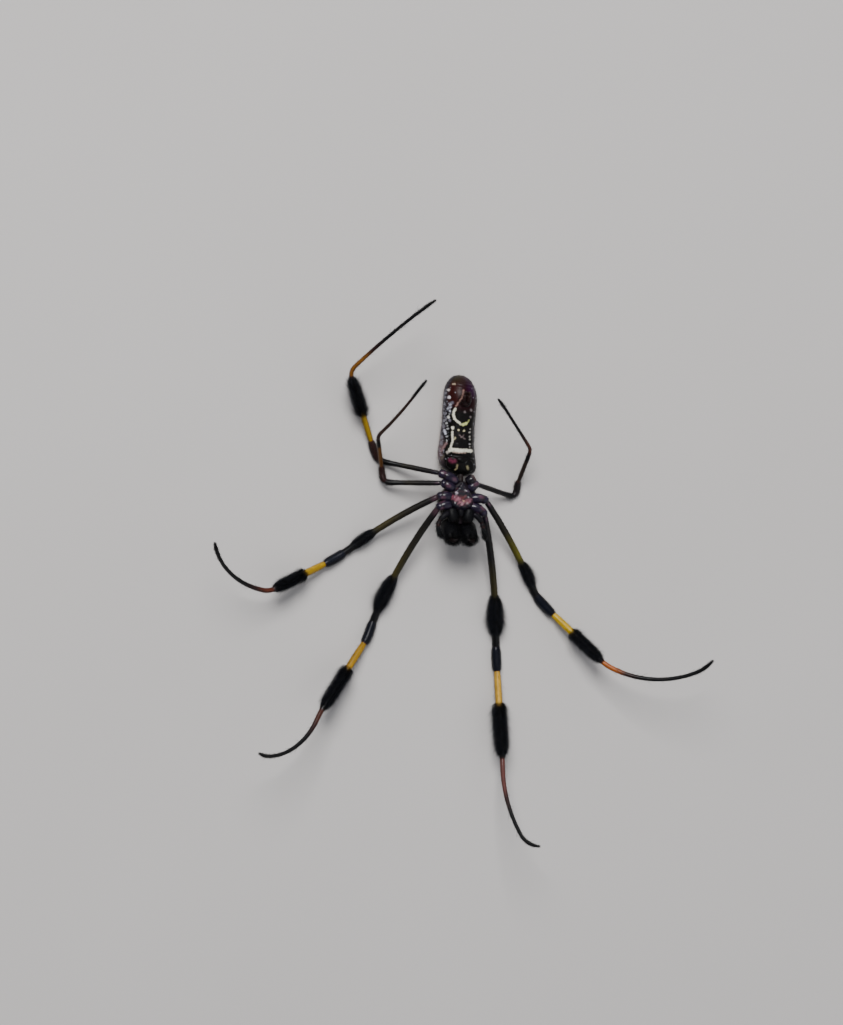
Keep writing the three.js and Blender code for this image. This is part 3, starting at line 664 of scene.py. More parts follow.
class Wiring:
    """Adds nodes to a tree and joins their sockets."""

    def __init__(self, tree: NodeTree) -> None:
        """Works on one node tree."""
        self.tree = tree

    def add(self, kind: str, settings: dict | None = None, **sockets: object) -> bpy.types.Node:
        """Adds a node, sets its options, and sets or joins its inputs by name.

        Args:
            kind: the node's type, without the ShaderNode at the front.
            settings: options of the node itself.
            sockets: inputs by name, with _ for a space: a value, or a socket to join.

        Returns:
            The new node.
        """
        node = self.tree.nodes.new(f"ShaderNode{kind}")
        for option, value in (settings or {}).items():
            setattr(node, option, value)
        self.join(node, **sockets)
        return node

    def join(self, node: bpy.types.Node, **sockets: object) -> None:
        """Sets or joins a node's inputs by name, with _ for a space."""
        for name, value in sockets.items():
            self.feed(value, node, name.replace("_", " "))

    def feed(self, value: object, node: bpy.types.Node, name: str | int) -> None:
        """Joins a socket to an input, or sets the input's own value."""
        if isinstance(value, Socket):
            self.tree.links.new(value, node.inputs[name])
        else:
            node.inputs[name].default_value = value

    def maths(self, operation: str, *values: object) -> Socket:
        """A Math node's result."""
        node = self.add("Math", {"operation": operation})
        for index, value in enumerate(values):
            self.feed(value, node, index)
        return node.outputs[0]

    def mix(self, share: object, low: object, high: object) -> Socket:
        """Mixes two colours by a share."""
        node = self.add("Mix", {"data_type": "RGBA"})
        for value, index in ((share, 0), (low, 6), (high, 7)):
            self.feed(value, node, index)
        return node.outputs[2]

    def range(
        self, value: object, low: float, high: float, to_low: object, to_high: object
    ) -> Socket:
        """Maps a value from one range to another."""
        ends = {"From_Min": low, "From_Max": high, "To_Min": to_low, "To_Max": to_high}
        return self.add("MapRange", None, Value=value, **ends).outputs["Result"]

    def noise(self, scale: object, **sockets: object) -> Socket:
        """Clouds on the piece's own coordinates."""
        place = self.add("TexCoord").outputs["Object"]
        return self.add("TexNoise", None, Vector=place, Scale=scale, **sockets).outputs["Fac"]

    def own(self, attribute: str, output: str) -> Socket:
        """What a piece stores for each vertex."""
        return self.add("Attribute", {"attribute_name": attribute}).outputs[output]

    def shade(self, clouds: object, start: bpy.types.Node) -> Socket:
        """A group's Tint, made lighter and darker by clouds as far as its Unevenness says."""
        swing = self.maths("SUBTRACT", clouds, 0.5)
        swing = self.maths("MULTIPLY", swing, start.outputs["Unevenness"])
        shaded = self.add("VectorMath", {"operation": "SCALE"})
        self.feed(start.outputs["Tint"], shaded, 0)
        self.feed(self.maths("ADD", swing, 1.0), shaded, "Scale")
        return shaded.outputs[0]


class Effects:
    """The node groups that several finishes share."""

    def __init__(self) -> None:
        """Builds each group once."""
        self.mottle = self._mottle()
        self.relief = self._relief()
        self.strand = self._strand()

    @staticmethod
    def _group(
        name: str, inputs: dict[str, str], outputs: dict[str, str]
    ) -> tuple[NodeTree, Wiring, bpy.types.Node, bpy.types.Node]:
        """A new group with named sockets, its wiring and its two end nodes."""
        tree = bpy.data.node_groups.new(name, "ShaderNodeTree")
        for label, kind in inputs.items():
            tree.interface.new_socket(label, in_out="INPUT", socket_type=f"NodeSocket{kind}")
        for label, kind in outputs.items():
            tree.interface.new_socket(label, in_out="OUTPUT", socket_type=f"NodeSocket{kind}")
        wiring = Wiring(tree)
        start = tree.nodes.new("NodeGroupInput")
        end = tree.nodes.new("NodeGroupOutput")
        return tree, wiring, start, end

    def _mottle(self) -> NodeTree:
        """Uneven colour: lighter and darker clouds, and flecks of a second colour."""
        tree, w, start, end = self._group(
            "mottled_cuticle",
            {"Tint": "Color", "Second": "Color", "Scale": "Float", "Unevenness": "Float",
             "Second Share": "Float"},
            {"Colour": "Color", "Mask": "Float"},
        )
        clouds = w.noise(start.outputs["Scale"], Detail=5.0, Roughness=0.62)
        flecks = w.noise(w.maths("MULTIPLY", start.outputs["Scale"], 2.7), Detail=3.0)
        share = w.range(flecks, 0.52, 0.66, 0.0, start.outputs["Second Share"])
        colour = w.mix(share, w.shade(clouds, start), start.outputs["Second"])
        w.join(end, Colour=colour, Mask=clouds)
        return tree

    def _relief(self) -> NodeTree:
        """Height of fine leathery grain with the tiny sockets of the hairs."""
        tree, w, start, end = self._group(
            "cuticle_relief", {"Grain Scale": "Float", "Socket Scale": "Float"}, {"Height": "Float"}
        )
        grain = w.noise(start.outputs["Grain Scale"], Detail=4.0, Roughness=0.55)
        place = w.add("TexCoord").outputs["Object"]
        cells = w.add("TexVoronoi", {"feature": "F1"}, Vector=place,
                      Scale=start.outputs["Socket Scale"]).outputs["Distance"]
        sockets = w.range(cells, 0.08, 0.24, 1.0, 0.0)
        w.join(end, Height=w.maths("ADD", grain, w.maths("MULTIPLY", sockets, 0.45)))
        return tree

    def _strand(self) -> NodeTree:
        """Colour of hairs, with light and dark hairs side by side."""
        tree, w, start, end = self._group(
            "hair_tone", {"Tint": "Color", "Scale": "Float", "Unevenness": "Float"},
            {"Colour": "Color"},
        )
        w.join(end, Colour=w.shade(w.noise(start.outputs["Scale"], Detail=2.0), start))
        return tree


def fresh_material(name: str) -> tuple[Material, Wiring, bpy.types.Node]:
    """A new node material, its wiring and its Principled shader."""
    material = bpy.data.materials.new(name)
    material.use_nodes = True
    wiring = Wiring(material.node_tree)
    return material, wiring, material.node_tree.nodes["Principled BSDF"]


@dataclass(frozen=True)
class Cuticle:
    """Finish of bare skin: gloss, grain and uneven colour over its own tints.

    A shining skin also reads its own shine, which takes it from its roughness to polished.
    """

    name: str
    smooth: float = 0.3
    rough: float = 0.5
    polished: float = 0.14
    shining: bool = False
    bump: float = 0.3
    bump_depth: float = 0.00004
    grain: float = 9000.0
    sockets: float = 5000.0
    clouds: float = 900.0
    unevenness: float = 0.9
    second: Colour = (0.05, 0.03, 0.03)
    second_share: float = 0.2
    specular: float = 0.35
    coat: float = 0.0

    def made(self, effects: Effects) -> Material:
        """Builds the material."""
        material, w, shader = fresh_material(self.name)
        tint = w.own("tint", "Color")
        mottle = w.add("Group", {"node_tree": effects.mottle}, Tint=tint, Scale=self.clouds,
                       Unevenness=self.unevenness, Second_Share=self.second_share,
                       Second=(*self.second, 1.0))
        relief = w.add("Group", {"node_tree": effects.relief}, Grain_Scale=self.grain,
                       Socket_Scale=self.sockets)
        bump = w.add("Bump", None, Strength=self.bump, Distance=self.bump_depth,
                     Height=relief.outputs["Height"])
        gloss = w.range(mottle.outputs["Mask"], 0.35, 0.65, self.rough, self.smooth)
        coat = self.coat
        if self.shining:
            shine = w.own("shine", "Fac")
            gloss = w.range(shine, 0.0, 1.0, gloss, self.polished)
            coat = w.maths("MULTIPLY", shine, self.coat)
        w.join(shader, Base_Color=mottle.outputs["Colour"], Roughness=gloss, Coat_Weight=coat,
               Coat_Roughness=0.2, Specular_IOR_Level=self.specular,
               Normal=bump.outputs["Normal"])
        return material


@dataclass(frozen=True)
class HairFinish:
    """Finish of a coat: hairs of uneven tone with a dull or silky gloss."""

    name: str
    roughness: float = 0.45
    unevenness: float = 0.5
    specular: float = 0.2
    sheen: float = 0.0
    clouds: float = 6000.0

    def made(self, effects: Effects) -> Material:
        """Builds the material."""
        material, w, shader = fresh_material(self.name)
        tint = w.own("tint", "Color")
        tone = w.add("Group", {"node_tree": effects.strand}, Tint=tint, Scale=self.clouds,
                     Unevenness=self.unevenness)
        w.join(shader, Base_Color=tone.outputs["Colour"], Roughness=self.roughness,
               Specular_IOR_Level=self.specular, Sheen_Weight=self.sheen, Sheen_Roughness=0.4)
        return material


@dataclass(frozen=True)
class EyeLens:
    """Finish of the eyes: wet black lenses, a little browner in places."""

    name: str = "eye_lens"

    def made(self, effects: Effects) -> Material:
        """Builds the material."""
        material, w, shader = fresh_material(self.name)
        mottle = w.add("Group", {"node_tree": effects.mottle}, Scale=2500.0, Unevenness=0.8,
                       Second_Share=0.3, Tint=(0.012, 0.009, 0.008, 1.0),
                       Second=(0.03, 0.014, 0.006, 1.0))
        w.join(shader, Base_Color=mottle.outputs["Colour"], Roughness=0.06, Coat_Weight=1.0,
               Coat_Roughness=0.02)
        return material


class Finishes:
    """Every material of the spider, built once."""

    def __init__(self) -> None:
        """Builds the shared effects and the materials."""
        effects = Effects()
        self.leg = Cuticle("leg_cuticle", smooth=0.34, rough=0.5, polished=0.27, bump=0.12,
                           second=(0.014, 0.008, 0.009), second_share=0.15, unevenness=1.0,
                           clouds=1100, specular=0.2, shining=True, coat=0.4).made(effects)
        self.sternum = Cuticle("sternum_cuticle", smooth=0.28, rough=0.45, bump=0.14,
                               second=(0.030, 0.008, 0.014), second_share=0.75, clouds=650,
                               unevenness=1.5, coat=0.3).made(effects)
        self.carapace = Cuticle("carapace_cuticle", smooth=0.4, rough=0.6,
                                second=(0.03, 0.02, 0.015), second_share=0.4).made(effects)
        self.jaw = Cuticle("jaw_cuticle", smooth=0.4, rough=0.55, bump=0.2, second_share=0.1,
                           second=(0.004, 0.003, 0.003), specular=0.1, clouds=700).made(effects)
        self.mouth = Cuticle("mouthpart_cuticle", smooth=0.38, rough=0.55, second_share=0.2,
                             second=(0.005, 0.003, 0.003), specular=0.12).made(effects)
        self.abdomen = Cuticle("abdomen_skin", smooth=0.28, rough=0.46, bump=0.4, grain=5000,
                               clouds=700, second=(0.012, 0.001, 0.003), second_share=0.25,
                               unevenness=0.7, specular=0.15).made(effects)
        self.spinneret = Cuticle("spinneret_skin", smooth=0.32, rough=0.5, bump=0.4,
                                 second=(0.022, 0.005, 0.005), second_share=0.3,
                                 specular=0.24).made(effects)
        self.membrane = Cuticle("membrane", smooth=0.4, rough=0.6, bump=0.6, grain=4000,
                                second=(0.03, 0.012, 0.012), second_share=0.4,
                                specular=0.2).made(effects)
        self.brush = HairFinish("brush_bristles", roughness=0.42, unevenness=0.9,
                                specular=0.22).made(effects)
        self.hair = HairFinish("short_hair", roughness=0.5, unevenness=0.6).made(effects)
        self.down = HairFinish("silver_down", roughness=0.38, unevenness=0.5, specular=0.4,
                               sheen=0.4).made(effects)
        self.eye = EyeLens().made(effects)


# Legs


@dataclass(frozen=True)
class Brush:
    """The stretch of a joint that a brush covers and how far it reaches from the axis."""

    start: float
    end: float
    reach: float


@dataclass(frozen=True)
class LegPair:
    """Sizes of the two legs of a pair, in millimetres and degrees."""

    lengths: tuple[float, float, float, float, float]
    radii: tuple[float, float, float, float, float]
    hip: tuple[float, float, float]
    coxa_root: tuple[float, float, float]
    femur_sweep: float = 0.0
    femur_brush: Brush | None = None
    tibia_brush: Brush | None = None


@dataclass(frozen=True)
class Pose:
    """How one leg is held.

    It gives the heading of the femur, then the heading and the rise of each joint after it, in
    degrees. shift moves the hip outwards and to the rear, reach is the leg's length against its
    pair's, and lift is how far the knee stays above the floor.
    """

    femur: float
    knee: tuple[float, float]
    tibia: tuple[float, float]
    metatarsus: tuple[float, float]
    end: tuple[float, float]
    tip: tuple[float, float]
    shift: tuple[float, float] = (0.0, 0.0)
    reach: float = 1.0
    lift: float = 0.0


PAIRS: dict[int, LegPair] = {
    1: LegPair(
        lengths=(25.6, 4.7, 16.6, 16.5, 4.5), radii=(0.68, 0.85, 0.7, 0.45, 0.36),
        hip=(4.7, -6.4, 6.3), coxa_root=(1.7, -5.2, 6.1), femur_sweep=6.0,
        femur_brush=Brush(0.63, 0.94, 1.8), tibia_brush=Brush(0.37, 0.97, 1.65),
    ),
    2: LegPair(
        lengths=(21.3, 4.9, 12.9, 17.8, 4.5), radii=(0.66, 0.85, 0.7, 0.45, 0.36),
        hip=(4.9, -3.95, 6.2), coxa_root=(1.8, -3.8, 6.1), femur_sweep=6.0,
        femur_brush=Brush(0.67, 0.94, 1.7), tibia_brush=Brush(0.36, 0.97, 1.6),
    ),
    3: LegPair(
        lengths=(10.5, 3.3, 7.4, 13.2, 3.6), radii=(0.52, 0.6, 0.43, 0.33, 0.28),
        hip=(3.7, -1.1, 6.1), coxa_root=(1.5, -2.1, 6.1),
    ),
    4: LegPair(
        lengths=(11.5, 4.5, 14.1, 18.5, 4.3), radii=(0.52, 0.7, 0.56, 0.38, 0.31),
        hip=(4.6, 0.8, 6.0), coxa_root=(0.9, -0.8, 6.1), tibia_brush=Brush(0.39, 0.97, 1.6),
    ),
}

POSES: dict[tuple[Side, int], Pose] = {
    (Side.RIGHT, 1): Pose(-73, (-80, 4), (-81, 11), (-88, 29), (-61, 39), (8, 38),
                          shift=(0.1, -0.5), reach=1.02),
    (Side.RIGHT, 2): Pose(-50, (-39, 4), (-38, 19), (-20, 25), (30, 27), (62, 29),
                          shift=(0.2, -0.3), reach=1.03),
    (Side.RIGHT, 3): Pose(-9, (95, 9), (88, 39), (139, 36), (140, 35), (145, 37),
                          shift=(-0.6, 0.1), reach=0.99),
    (Side.LEFT, 1): Pose(-110, (-101, 6), (-119, 17), (-111, 19), (-169, 38), (-198, 41),
                         shift=(-0.2, 0.4), reach=0.98),
    (Side.LEFT, 2): Pose(-140, (-143, 6), (-149, 18), (-183, 26), (-226, 42), (-242, 41),
                         shift=(-0.3, 0.2), reach=0.97),
    (Side.LEFT, 3): Pose(-172, (-259, -11), (-243, 41), (-300, 41), (-290, 39), (-295, 38),
                         shift=(0.4, 0.0), reach=1.01, lift=1.1),
    (Side.LEFT, 4): Pose(176, (120, 6), (120, 18), (57, 33), (49, 25), (45, 24)),
}

COXA_RADIUS = 1.0
KNEE_FLAT_DEPTH = 0.08
WALK_STEP = 0.25
LEAST_GAP = 0.12
FEMUR_BOW = 3.0
SETTLE_PASSES = 4

# Colours of the legs, from the coxa to the foot
PURPLE_BLACK: Colour = (0.0055, 0.004, 0.0075)
COXA_VIOLET: Colour = (0.011, 0.007, 0.018)
COXA_PINK: Colour = (0.075, 0.032, 0.050)
PINK_BROWN: Colour = (0.040, 0.018, 0.025)
BROWN_BLACK: Colour = (0.005, 0.004, 0.004)
DARK_OLIVE: Colour = (0.010, 0.008, 0.0045)
OLIVE: Colour = (0.034, 0.027, 0.007)
YELLOW_GREEN: Colour = (0.10, 0.088, 0.006)
BLACK: Colour = (0.003, 0.003, 0.0035)
BLUE_BLACK: Colour = (0.003, 0.004, 0.010)
RED_BLACK: Colour = (0.022, 0.008, 0.007)
ORANGE_BROWN: Colour = (0.30, 0.075, 0.008)
RED_BROWN: Colour = (0.050, 0.014, 0.008)
MEMBRANE_TONE: Colour = (0.013, 0.008, 0.011)


@dataclass(frozen=True)
class LegTone:
    """Colours of one leg, and how full its brushes are.

    shank_end is the share of the metatarsus that keeps the shank's colour. The femur brush is
    thinnest on bare_side, in degrees round the femur, by the share bareness.
    """

    band: Colour
    root: Colour = PURPLE_BLACK
    femur_mid: Colour = BROWN_BLACK
    femur_far: Colour = DARK_OLIVE
    knee: Colour = BLUE_BLACK
    shank: Colour = RED_BROWN
    shank_end: float = 0.1
    fullness: float = 1.0
    tibia_fullness: float = 1.0
    bare_side: float = 90.0
    bareness: float = 0.0


TONES: dict[tuple[Side, int], LegTone] = {
    (Side.RIGHT, 1): LegTone(femur_far=OLIVE, band=(0.44, 0.25, 0.028), shank=(0.08, 0.024, 0.02),
                             shank_end=0.38, fullness=1.2, tibia_fullness=1.22),
    (Side.RIGHT, 2): LegTone(femur_mid=DARK_OLIVE, femur_far=YELLOW_GREEN,
                             band=(0.45, 0.28, 0.004), shank=ORANGE_BROWN, shank_end=0.15,
                             fullness=0.95, tibia_fullness=0.95, bare_side=0.0, bareness=0.6),
    (Side.RIGHT, 3): LegTone(femur_far=BROWN_BLACK, knee=(0.010, 0.007, 0.008),
                             band=(0.018, 0.011, 0.008), shank_end=0.2),
    (Side.LEFT, 1): LegTone(root=PINK_BROWN, femur_mid=DARK_OLIVE, femur_far=OLIVE,
                            band=(0.27, 0.145, 0.006), shank_end=0.1, fullness=1.12,
                            tibia_fullness=1.05, bare_side=150.0, bareness=0.35),
    (Side.LEFT, 2): LegTone(root=PINK_BROWN, femur_mid=DARK_OLIVE, femur_far=OLIVE,
                            band=(0.32, 0.185, 0.004), shank=(0.07, 0.016, 0.008),
                            shank_end=0.12, fullness=0.72, tibia_fullness=0.92,
                            bare_side=90.0, bareness=0.55),
    (Side.LEFT, 3): LegTone(knee=RED_BLACK, band=(0.11, 0.045, 0.010), shank=(0.028, 0.014, 0.010),
                            shank_end=0.7),
    (Side.LEFT, 4): LegTone(knee=RED_BLACK, band=(0.26, 0.155, 0.004), shank=(0.15, 0.058, 0.008),
                            shank_end=0.26, tibia_fullness=1.16),
}


@dataclass
class Leg:
    """One whole leg: a skin from coxa to foot, claws, brushes and fine hair."""

    side: Side
    number: int
    finishes: Finishes
    sides: int = 12
    waist: float = 0.1
    coat_depth: float = 0.03
    pair: LegPair = field(init=False)
    pose: Pose = field(init=False)
    tone: LegTone = field(init=False)
    hip: Points = field(init=False)
    lengths: tuple[float, ...] = field(init=False)
    spine: Spine = field(init=False)
    coxa: float = field(init=False)

    def __post_init__(self) -> None:
        """Lays out the leg's centre line."""
        self.pair = PAIRS[self.number]
        self.pose = POSES[self.side, self.number]
        self.tone = TONES[self.side, self.number]
        self.lengths = tuple(length * self.pose.reach for length in self.pair.lengths)
        outward, rearward = self.pose.shift
        across, along, height = self.pair.hip
        self.hip = in_front_body(self.side.value * (across + outward), along + rearward, height)
        limb = self._settled()
        hip, ahead = limb.points[0], limb.aheads[0]
        across, along, height = self.pair.coxa_root
        root = in_front_body(self.side.value * across, along, height)
        bend = hip - 0.4 * np.linalg.norm(hip - root) * ahead
        t = np.linspace(0, 1, 25)[:, None]
        stem = (1 - t) ** 2 * root + 2 * t * (1 - t) * bend + t**2 * hip
        self.coxa = Spine(stem).length
        self.spine = Spine(np.concatenate([stem[:-1], limb.points]))

    @property
    def name(self) -> str:
        """The leg's name, as its nodes have it."""
        return f"leg_{self.side.word}_{self.number}"

    def _walk(self, femur_rise: float) -> Spine:
        """Centre line whose direction turns evenly from station to station."""
        femur, patella, tibia, metatarsus, tarsus = self.lengths
        pose = self.pose
        sweep = self.side.value * self.pair.femur_sweep
        knee = femur + patella
        ankle = knee + tibia
        total = ankle + metatarsus + tarsus
        stations = np.array([
            (0, pose.femur + sweep, femur_rise - FEMUR_BOW),
            (0.92 * femur, pose.femur - sweep, femur_rise + FEMUR_BOW),
            (femur + 0.4 * patella, *pose.knee),
            (knee, *pose.tibia),
            (knee + 0.95 * tibia, *pose.tibia),
            (ankle + 0.12 * metatarsus, *pose.metatarsus),
            (ankle + metatarsus, *pose.end),
            (total, *pose.tip),
        ])
        steps = round(total / WALK_STEP)
        places = (np.arange(steps) + 0.5) * total / steps
        heading = np.radians(np.interp(places, stations[:, 0], stations[:, 1]))
        rise = np.radians(np.interp(places, stations[:, 0], stations[:, 2]))
        ahead = np.stack([
            np.cos(heading) * np.cos(rise), np.sin(heading) * np.cos(rise), np.sin(rise)
        ], -1)
        walked = np.cumsum(ahead * total / steps, axis=0)
        return Spine(np.concatenate([self.hip[None], self.hip + walked]))

    def _settled(self) -> Spine:
        """The centre line with the femur sloping so that the bent knee lies as low as it should."""
        femur = self.lengths[0]
        knee = self.pair.radii[1] - KNEE_FLAT_DEPTH + self.pose.lift
        rise = -math.degrees(math.asin((self.pair.hip[2] - knee) / femur))
        spine = self._walk(rise)
        for _ in range(SETTLE_PASSES):
            rise += math.degrees((knee - spine.points[:, 2].min()) / femur)
            spine = self._walk(rise)
        return spine

    def starts(self) -> list[float]:
        """Where each joint starts along the whole leg, and where the last one ends."""
        marks = [self.coxa]
        for length in self.lengths:
            marks.append(marks[-1] + length)
        return marks

    def radius(self, place: Points) -> Points:
        """Radius of the skin at places along the leg."""
        girths = (
            graded((0, 0.86), (0.08, 0.95), (0.3, 1), (0.8, 0.97), (0.9, 1.08), (0.97, 1.08),
                   (1, 0.96)),
            graded((0, 0.8), (0.1, 0.92), (0.3, 1), (0.65, 1), (0.9, 0.93), (1, 0.8)),
            graded((0, 0.86), (0.12, 1), (0.6, 0.97), (0.95, 0.96), (1, 0.84)),
            graded((0, 1.12), (0.06, 1.15), (0.3, 1.02), (0.8, 0.9), (1, 0.88)),
            graded((0, 1.06), (0.5, 1.06), (0.85, 1.02), (0.95, 0.9), (1, 0.66)),
        )
        stem = graded((0, 0.8), (0.3, 1), (0.5, 0.98), (0.6, 0.93), (0.68, 0.83), (0.75, 0.87),
                      (0.84, 0.87), (0.94, 0.8), (1, 0.67))
        marks = self.starts()
        radius = stem(place / self.coxa) * COXA_RADIUS
        for index, (girth, thick) in enumerate(zip(girths, self.pair.radii)):
            share = (place - marks[index]) / self.lengths[index]
            radius = np.where(place >= marks[index], girth(share) * thick, radius)
        for index, mark in enumerate(marks[:-1]):
            depth = self.waist if index < 4 else 0.5 * self.waist
            width = 0.4 * self.pair.radii[index]
            radius = radius * (1 - depth * np.exp(-(((place - mark) / width) ** 2)))
        return radius - self.coat_depth

    def rings(self) -> list[Ring]:
        """Rings of the straight skin, closer together where joints meet."""
        marks = self.starts()
        shares = (0, 0.15, 0.3, 0.45, 0.56, 0.63, 0.68, 0.73, 0.82, 0.9)
        places = [share * self.coxa for share in shares]
        for index, (mark, count) in enumerate(zip(marks, (9, 5, 7, 9, 4))):
            step = 0.3 * self.pair.radii[index] + 0.08
            places += [mark - step, mark, mark + step, mark + 2.2 * step]
            places += list(np.linspace(mark, marks[index + 1], count + 1)[1:-1])
        end = marks[-1]
        places = sorted(place for place in places if place < end - 0.4)
        apart = [places[0]]
        for place in places[1:]:
            if place - apart[-1] > LEAST_GAP:
                apart.append(place)
        radii = self.radius(np.array(apart))
        tail = float(self.radius(np.array([end])))
        tip = [(end - 0.3, 1.0), (end - 0.1, 0.82), (end, 0.45)]
        return round_rings(zip(apart, radii)) + round_rings(tip, girth=tail)

    def tint(self, place: Points, turn: Points) -> Points:
        """Colours along the leg, with painted light and shade: a little paler on the upward belly
        side, darker underneath.
        """
        s = self.starts()
        femur, _, tibia, metatarsus, _ = self.lengths
        tone = self.tone
        brush = self.pair.tibia_brush
        dark_from = brush.start if brush else 0.7
        shank_end = s[3] + tone.shank_end * metatarsus
        stations = [
            (0.0, COXA_VIOLET), (0.6 * s[0], COXA_VIOLET), (0.66 * s[0], MEMBRANE_TONE),
            (0.7 * s[0], MEMBRANE_TONE), (0.76 * s[0], COXA_VIOLET), (0.9 * s[0], COXA_VIOLET),
            (s[0] - 0.08, MEMBRANE_TONE), (s[0] + 0.1, tone.root), (s[0] + 0.7, tone.root),
            (s[0] + 1.6, BROWN_BLACK), (s[0] + 0.34 * femur, tone.femur_mid),
            (s[0] + 0.54 * femur, tone.femur_far), (s[0] + 0.62 * femur, tone.femur_far),
            (s[0] + 0.68 * femur, BLACK), (s[1] - 0.2, BLACK), (s[1], MEMBRANE_TONE),
            (s[1] + 0.15, tone.knee), (s[2] - 0.15, tone.knee), (s[2], RED_BROWN),
            (s[2] + 0.15, tone.band), (s[2] + (dark_from - 0.01) * tibia, tone.band),
            (s[2] + (dark_from + 0.05) * tibia, BLACK), (s[3] - 0.5, BLACK),
            (s[3] - 0.1, RED_BLACK), (s[3] + 0.1, tone.shank), (shank_end, tone.shank),
            (shank_end + 0.12 * metatarsus, RED_BLACK), (shank_end + 0.3 * metatarsus, BLACK),
            (s[5], BLACK),
        ]
        base = ramp(place, stations)
        mottle = np.sin(1.7 * place + 1.3 * turn + self.number) * np.sin(2 * turn - 1.2 * place)
        flush = soft_step(mottle, 0.2, 0.95) * (1 - soft_step(place, s[0] + 0.2, s[0] + 1.4))
        base = mixed(base, COXA_PINK, 0.75 * flush)
        # painted light and shade: the upward belly side lighter, the underside darker
        lift = 1.0 + 0.28 * np.sin(turn)
        streak = 1.0 + 0.12 * np.sin(3 * turn + 0.4 * place)
        outer = 0.5 - 0.5 * self.side.value * np.cos(turn)
        far = soft_step(place, s[0] + 0.3 * femur, s[0] + 0.5 * femur) * (place < s[1])
        return base * (lift * streak * (1 - 0.55 * far * (1 - outer)))[:, None]

    def shine(self, place: Points) -> Points:
        """Gloss along the leg: strongest on the coxa, round the knee and beside the brushes."""
        s = self.starts()
        femur, _, tibia, _, _ = self.lengths
        stations = (
            (0.0, 0.9), (s[0], 0.8), (s[0] + 2.5, 0.35), (s[0] + 0.6 * femur, 0.15),
            (s[0] + 0.7 * femur, 0.4), (s[1], 0.4), (s[2] - 0.1, 0.4), (s[2] + 0.1, 0.4),
            (s[2] + 0.35 * tibia, 0.3), (s[2] + 0.5 * tibia, 0.4), (s[3], 0.4), (s[3] + 1.0, 0.3),
            (s[4], 0.2), (s[5], 0.1),
        )
        return np.interp(place, *zip(*stations))

    def make_skin(self) -> Skin:
        """Models the skin straight, then bends it along the leg."""
        piece = Bench.grow(f"{self.name}_skin", self.rings(), self.sides, 2)
        along, turn = unwrapped(piece)
        Bench.bend(piece, self.spine)
        skin = Skin(piece, along, turn)
        skin.paint(self.tint(along, turn))
        give_shine(piece, self.shine(along))
        return skin

    def make_claws(self) -> Piece:
        """Three small curved claws at the tip of the foot."""
        profile = [(0.0, 0.055), (0.1, 0.06), (0.22, 0.045), (0.34, 0.028), (0.42, 0.012)]
        claw = Bench.grow("claw", round_rings(profile), 6, 1)
        arc = [(0.42 * math.sin(a), 0, 0.42 * (math.cos(a) - 1)) for a in np.linspace(0, 1.1, 12)]
        Bench.bend(claw, Spine(arc))
        point, ahead = self.spine.at(np.array([self.spine.length - 0.12]))
        side = unit(np.cross(ahead[0], UP))
        over = np.cross(side, ahead[0])
        claws = []
        for shift, drop in ((-0.09, 0.06), (0.09, 0.06), (0.0, -0.07)):
            origin = point[0] + side * shift + over * drop
            claws.append(Bench.copy(claw, axes(ahead[0] + side * shift * 2, over, origin)))
        bpy.data.objects.remove(claw)
        return Bench.join(claws, f"{self.name}_claws")

    def lie(self, roots: Roots) -> Points:
        """Direction towards the foot at each root."""
        return self.spine.at(roots.along)[1]

    def brush_coat(self, skin: Skin, joint: Joint, brush: Brush) -> Piece:
        """The dense brush round a joint: long bristles over a thick underlayer."""
        index = list(Joint).index(joint)
        start = self.starts()[index] + brush.start * self.lengths[index]
        end = self.starts()[index] + brush.end * self.lengths[index]
        share = (skin.along - start) / (end - start)
        on_femur = joint is Joint.FEMUR
        last = 0.92 if on_femur else 1.0
        inside = soft_step(share, -0.01, 0.03) * soft_step(-share, -last, 0.12 - last)
        stand = brush.reach - self.pair.radii[index]
        coat = Coat(f"{self.name}_{joint.value}_brush")
        # the longer outer layers are tinted blue-grey: partly the hairs' own grey, partly painted
        # sheen
        layers = (
            (HairKind(1.2 * stand, 0.036, 46, 36, 0.2, 0.25, 0.12), 90, BLACK),
            (HairKind(1.0 * stand, 0.036, 54, 42, 0.26, 0.3, 0.15), 70, BLACK),
            (HairKind(1.8 * stand, 0.030, 46, 34, 0.2, 0.25, 0.1), 30, (0.010, 0.011, 0.017)),
            (HairKind(2.1 * stand, 0.022, 48, 36, 0.2, 0.2, 0.1), 16, (0.030, 0.033, 0.048)),
        )
        for number, (kind, density, tone) in enumerate(layers):
            roots = skin.scatter(density * inside, 11 * self.number + 3 * index + number)
            at = (roots.along - start) / (end - start)
            if on_femur:
                scale = 0.34 + 0.7 * np.sin(math.pi * np.clip(0.12 + 1.05 * at, 0, 1)) ** 0.9
                facing = 0.5 + 0.5 * np.cos(roots.turn - math.radians(self.tone.bare_side))
                scale *= self.tone.fullness * (1 - self.tone.bareness * facing**1.5)
                lean = 4 - 12 * soft_step(at, 0.6, 0.95)
            else:
                scale = 0.74 + 0.26 * np.sin(math.pi * np.clip(0.2 + at * 0.8, 0, 1)) ** 0.6
                scale *= self.tone.tibia_fullness * (1 - 0.6 * soft_step(at, 0.72, 1.02))
                lean = 18 * (1 - soft_step(at, 0.0, 0.3)) - 10 * soft_step(at, 0.6, 0.95)
            tufts = np.cos(9 * roots.turn + 5 * roots.along) * np.cos(7 * roots.along)
            scale *= 1 + 0.14 * tufts
            coat.comb(roots, self.lie(roots), kind, tone, 5 + number, scale, lean)
        return coat.make()

